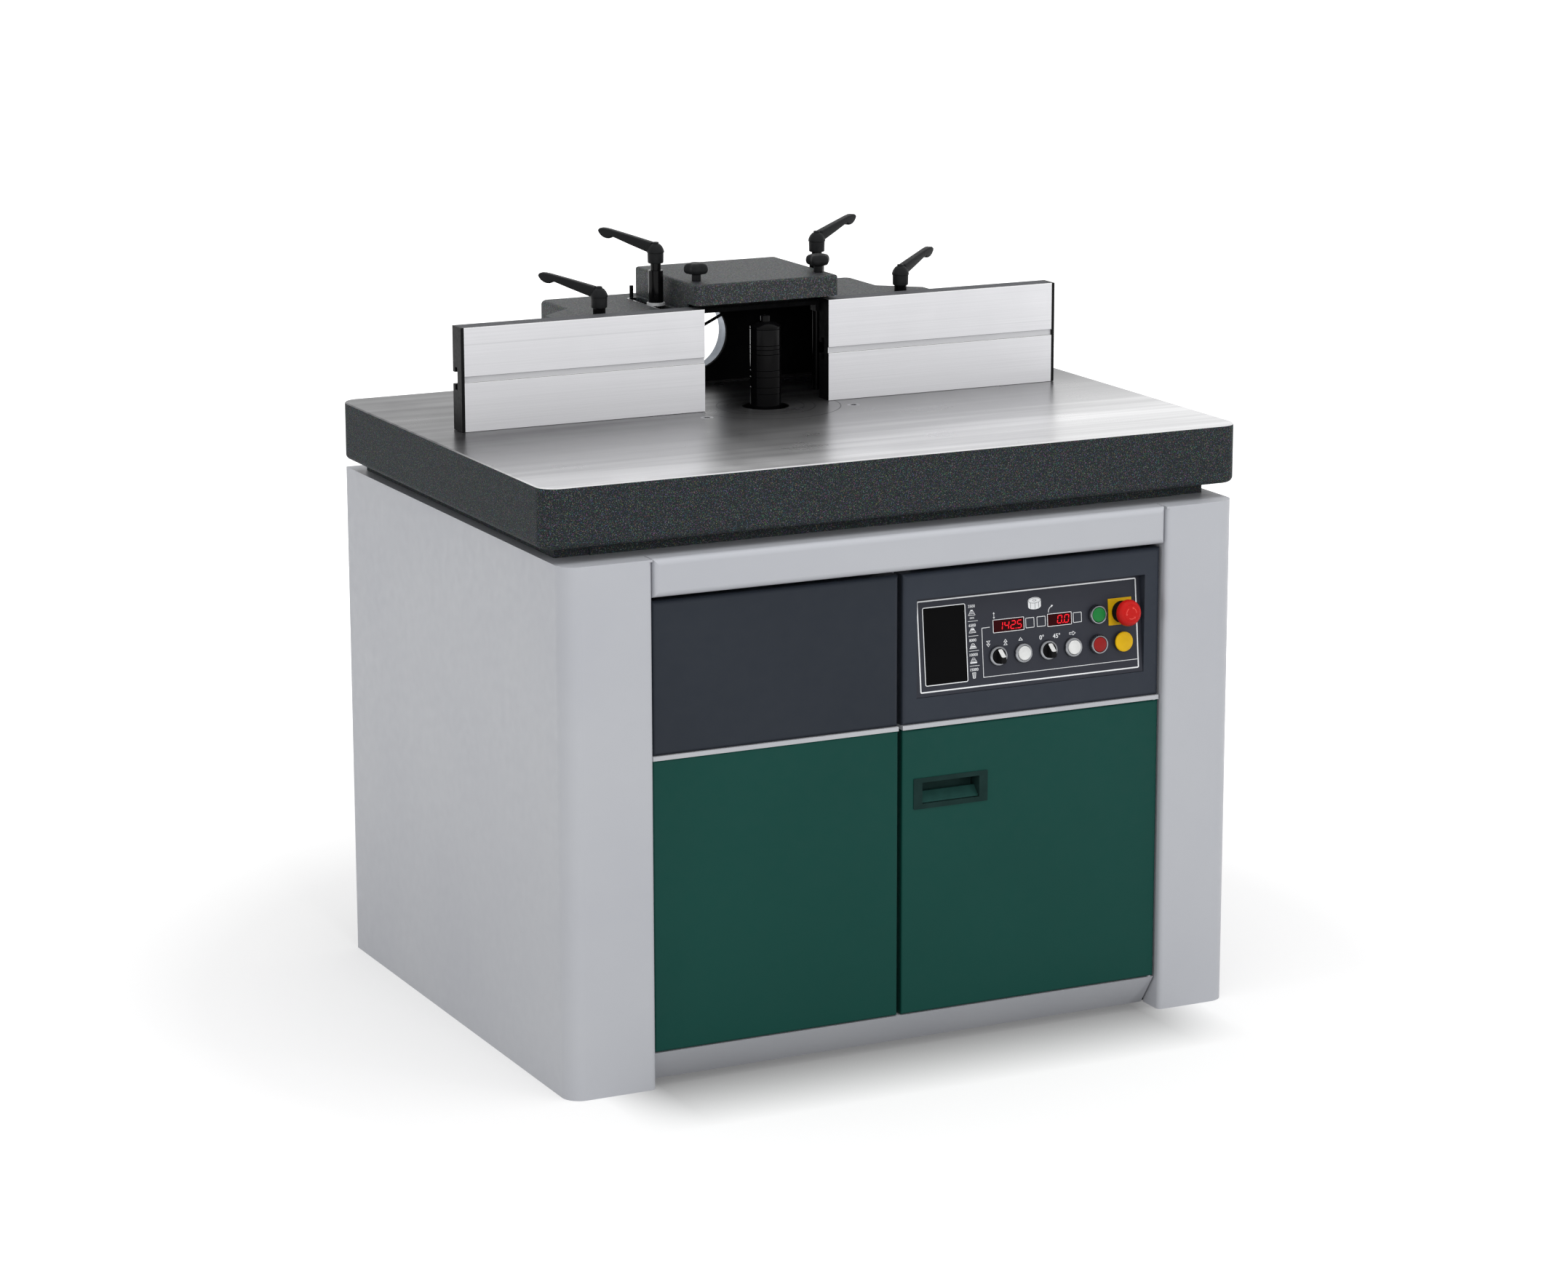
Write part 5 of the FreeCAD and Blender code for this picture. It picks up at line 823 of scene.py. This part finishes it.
BEZELS += [(4, LOW_ROW, HIGH_BEZEL), (4, HIGH_ROW, HIGH_BEZEL)]
for column, row, profile in BEZELS:
    ring = bmesh.new()
    turned(ring, profile)
    bmesh.ops.transform(ring, matrix=on_plate(COLUMNS[column], row), verts=ring.verts)
    shell = bpy.data.meshes.new("bezel")
    ring.to_mesh(shell)
    ring.free()
    bm.from_mesh(shell)
    bpy.data.meshes.remove(shell)
piece("bright_bezels", bm, chrome, "cabinet", "chrome", "button_bezels")


def push_button(name, column, row, material, slot, profile):
    """A cap at its column and row of the plate."""
    bm = bmesh.new()
    turned(bm, profile)
    piece(name + "_cap", bm, material, name, slot, name, at=on_plate(COLUMNS[column], row))


WHITE_CAP = [
    (0, -6), (9.6, -6), (9.6, 0), (10.6, 0), (10.6, 5.2), (10.3, 6), (9.7, 6.4), (9, 6.4), (8.4, 6.1),
    (0, 6)]
FLUSH_CAP = [(0, -6), (10.9, -6), (10.9, 7.6), (10.6, 8.1), (10, 8.4), (0, 8.5)]
YELLOW_LENS = [
    (0, -6), (11.3, -6), (11.3, 4.3), (14.5, 4.3), (15, 4.8), (15, 5.8), (14.5, 6.8), (13, 7.6),
    (9, 8.4), (4, 8.8), (0, 8.9)]
white_cap = moulded("white_cap", (212, 213, 212), 0.4, 0.0001, 0.35)
push_button("left_white_button", 1, LOW_ROW, white_cap, "white_plastic", WHITE_CAP)
push_button("right_white_button", 3, LOW_ROW, white_cap, "white_plastic", WHITE_CAP)
red_cap = moulded("red_cap", (134, 22, 21), 0.36, 0.0001, 0.2)
push_button("red_button", 4, LOW_ROW, red_cap, "red_plastic", FLUSH_CAP)
green_cap = moulded("green_cap", (22, 110, 50), 0.36, 0.0001, 0.2)
push_button("green_button", 4, HIGH_ROW, green_cap, "green_plastic", FLUSH_CAP)
yellow_cap = moulded("yellow_cap", (206, 164, 4), 0.36, 0.0001, 0.25)
push_button("yellow_button", 5, LOW_ROW, yellow_cap, "yellow_plastic", YELLOW_LENS)

# Selectors: black knobs whose grip rises like a wedge from the top of the disc to its nose, with a
# white pointer let into the slope.
GRIP = [(11.4, 5.6), (-0.6, 18.8), (-6.6, 18.9), (-9.4, 17.6), (-10.6, 14.6), (-10.8, 5.6)]
POINTER = [(10.2, 7.4), (-0.4, 19.1), (-0.9, 18.7), (9.7, 7)]


def selector(name, column):
    """A knob at its column of the plate, its grip upright, and its pointer."""
    place = on_plate(COLUMNS[column], LOW_ROW)
    upright = place @ Matrix.Rotation(math.radians(90), 4, "Z")
    bm = bmesh.new()
    turned(bm, [(0, -6), (9.6, -6), (9.6, 0), (10.6, 0), (10.6, 5.6), (10.2, 6.4), (0, 6.6)])
    grip = drawn_out(bm, GRIP, 9)
    edges = {e for v in grip for e in v.link_edges if e.calc_face_angle(0) > CORNER}
    bmesh.ops.bevel(
        bm, geom=list(edges), offset=1.2, segments=3, profile=0.5, affect="EDGES", material=-1)
    piece(name + "_knob", bm, black_moulding, name, "black_plastic", name, at=upright)
    bm = bmesh.new()
    inlay = drawn_out(bm, POINTER, 7)
    corners = {e for v in inlay for e in v.link_edges if abs((e.verts[0].co - e.verts[1].co).x) < 1}
    corners = [e for e in corners if abs((e.verts[0].co - e.verts[1].co).y) < 1]
    bmesh.ops.bevel(bm, geom=corners, offset=1.8, segments=4, profile=0.5, affect="EDGES", material=-1)
    piece(name + "_pointer", bm, white_cap, name, "white_plastic", at=upright)


selector("height_selector", 0)
selector("tilt_selector", 2)

# Emergency stop: a red mushroom head on a dark collar, over a yellow square plate. Three faint
# arrows moulded round its top show how it is turned to release.
stop_spot = on_plate(COLUMNS[5], HIGH_ROW)
bm = bmesh.new()
made = bmesh.ops.create_cube(bm, size=1.0)["verts"]
bmesh.ops.scale(bm, vec=(40, 40, 1.2), verts=made)
bmesh.ops.translate(bm, vec=(-2.4, 1, 0.6), verts=made)
upright = [e for e in bm.edges if abs(e.verts[0].co.z - e.verts[1].co.z) > 0.5]
bmesh.ops.bevel(bm, geom=upright, offset=0.8, segments=3, profile=0.5, affect="EDGES", material=-1)
yellow_plate = moulded("yellow_plate", (198, 156, 10), 0.45, 0.0001, 0.2)
piece("stop_plate", bm, yellow_plate, "cabinet", "yellow_plastic", at=stop_spot)
bm = bmesh.new()
turned(bm, [(11.8, 1), (16.5, 1), (16.5, 3), (15.8, 4), (14.6, 9), (11.8, 9), (11.8, 1)])
piece("stop_collar", bm, black_moulding, "cabinet", "black_plastic", at=stop_spot)
STOP_HEAD = [
    (0, -6), (11.4, -6), (11.4, 15.4), (12.4, 16.6), (16.6, 17.4), (19, 18.4), (20, 20.8), (19.9, 23.2),
    (18.8, 26.6), (16.8, 29.2), (14, 30.8), (13, 31), (12.6, 30.7), (12, 30.7), (11.6, 31.1), (7, 31.4),
    (0, 31.4)]
bm = bmesh.new()
turned(bm, STOP_HEAD, 64)
red_head = moulded("red_head", (180, 24, 21), 0.34, 0.0001, 0.15)
piece(
    "emergency_stop_head", bm, red_head, "emergency_stop", "red_plastic", "emergency_stop",
    at=stop_spot)
ARROW_RADIUS = 8.4
ARROW_LEVEL = 31.3
bm = bmesh.new()
for i in range(3):
    for j in range(6):
        angles = [math.radians(120 * i + 11 * (j + k)) for k in (0, 1.05)]
        stroke(bm, *[(ARROW_RADIUS * math.cos(a), ARROW_RADIUS * math.sin(a)) for a in angles], 1.1)
    tip = math.radians(120 * i + 80)
    back = math.radians(120 * i + 64)
    corners = [(ARROW_RADIUS, tip), (ARROW_RADIUS + 2, back), (ARROW_RADIUS - 2, back)]
    printed(bm, [(r * math.cos(a), r * math.sin(a)) for r, a in corners])
thickened(bm, 0.2)
arrow_red = moulded("arrow_red", (214, 70, 62), 0.45, 0.0001, 0.35)
on_head = stop_spot @ Matrix.Translation((0, 0, ARROW_LEVEL))
piece("stop_arrows", bm, arrow_red, "emergency_stop", "red_plastic", at=on_head)

# Studio: a white floor that keeps the machine's soft shadow and has a painted shadow under and just in
# front of the machine, soft box lights, and a white room. The lights are kept out of reflections, so
# that the ground table does not burn out from any side.


def only_seen(tree):
    """1 for rays that the picture, a reflection or a clear piece sees, 0 for light on pieces."""
    path = tree.nodes.new("ShaderNodeLightPath")
    direct, mirrored = path.outputs["Is Camera Ray"], path.outputs["Is Glossy Ray"]
    seen = step(tree, "Math", {0: direct, 1: mirrored}, operation="ADD").outputs["Value"]
    through = path.outputs["Is Transmission Ray"]
    either = step(tree, "Math", {0: seen, 1: through}, operation="ADD", use_clamp=True)
    return either.outputs["Value"]


bm = bmesh.new()
bmesh.ops.create_grid(bm, x_segments=1, y_segments=1, size=30)
mesh = bpy.data.meshes.new("studio_floor")
bm.to_mesh(mesh)
bm.free()
floor = bpy.data.objects.new("studio_floor", mesh)
bpy.context.scene.collection.objects.link(floor)
material, tree, shader, place = surface("studio_white")
tree.nodes.remove(shader)
parts = step(tree, "SeparateXYZ", {"Vector": place})
sideways = step(tree, "Math", {0: parts.outputs["X"]}, operation="ABSOLUTE").outputs["Value"]
# Painted shadow: between the posts, under the machine and fading out up to 0.2 m in front of it, the
# floor is painted darker and glows less.
bay = spread(tree, sideways, 1.0, 0.0, 0.4, 0.5)
ahead = spread(tree, parts.outputs["Y"], 0.0, 1.0, -0.6, -0.4)
covered = step(tree, "Math", {0: bay, 1: ahead}, operation="MULTIPLY").outputs["Value"]
before = spread(tree, parts.outputs["Y"], 1.0, 0.0, 0.2, 0.3)
painted_shadow = step(tree, "Math", {0: covered, 1: before}, operation="MULTIPLY").outputs["Value"]
floor_colour = blended(tree, painted_shadow, (0.6, 0.6, 0.6, 1), (0.28, 0.28, 0.28, 1))
matt = step(tree, "BsdfDiffuse", {"Color": floor_colour})
near_glow = spread(tree, painted_shadow, 0.42, 0.08, 0.0, 1.0)
away = step(tree, "VectorMath", {0: place}, operation="LENGTH").outputs["Value"]
far_glow = spread(tree, away, 0.0, 0.6, 0.9, 2.4)
both_glows = step(tree, "Math", {0: near_glow, 1: far_glow}, operation="ADD").outputs["Value"]
glow_share = step(tree, "Math", {0: only_seen(tree), 1: both_glows}, operation="MULTIPLY")
glow = step(tree, "Emission", {"Color": (1, 1, 1, 1), "Strength": glow_share.outputs["Value"]})
both = step(tree, "AddShader", {0: matt.outputs["BSDF"], 1: glow.outputs["Emission"]})
tree.links.new(both.outputs["Shader"], tree.nodes["Material Output"].inputs["Surface"])
mesh.materials.append(material)

world = bpy.data.worlds.new("studio_room")
world.use_nodes = True
sky = world.node_tree.nodes["Background"]
sky.inputs["Color"].default_value = (1, 1, 1, 1)
level = spread(world.node_tree, only_seen(world.node_tree), 0.68, 1.0, 0.0, 1.0)
world.node_tree.links.new(level, sky.inputs["Strength"])
bpy.context.scene.world = world
LIGHT_AIM = 0.7


def soft_light(name, place, width, height, power):
    """A rectangular soft light that points at the machine."""
    lamp = bpy.data.lights.new(name, "AREA")
    lamp.shape = "RECTANGLE"
    lamp.size = width
    lamp.size_y = height
    lamp.energy = power
    made = bpy.data.objects.new(name, lamp)
    made.location = place
    aim = Vector((0, 0, LIGHT_AIM)) - Vector(place)
    made.rotation_euler = aim.to_track_quat("-Z", "Y").to_euler()
    made.visible_glossy = False
    bpy.context.scene.collection.objects.link(made)


soft_light("left_light", (-4.1, -1.1, 0.75), 0.5, 1.2, 18)
soft_light("right_light", (2.6, -4.2, 0.85), 0.6, 1.5, 24)
soft_light("top_light", (0.2, -0.8, 3.8), 2.4, 2.4, 48)
soft_light("front_light", (-0.6, -4.8, 2.2), 1.3, 1.3, 42)

EYE = (-2.9199, -5.9459, 2.0778)
EYE_TURN = (76.999, 0.098, -26.171)

camera = bpy.data.cameras.new("camera")
camera.sensor_width = 36
camera.lens = 101.69
camera.clip_end = 100
eye = bpy.data.objects.new("camera", camera)
eye.location = EYE
eye.rotation_euler = tuple(math.radians(angle) for angle in EYE_TURN)
bpy.context.scene.collection.objects.link(eye)
bpy.context.scene.camera = eye
bpy.context.scene.view_settings.view_transform = "Standard"
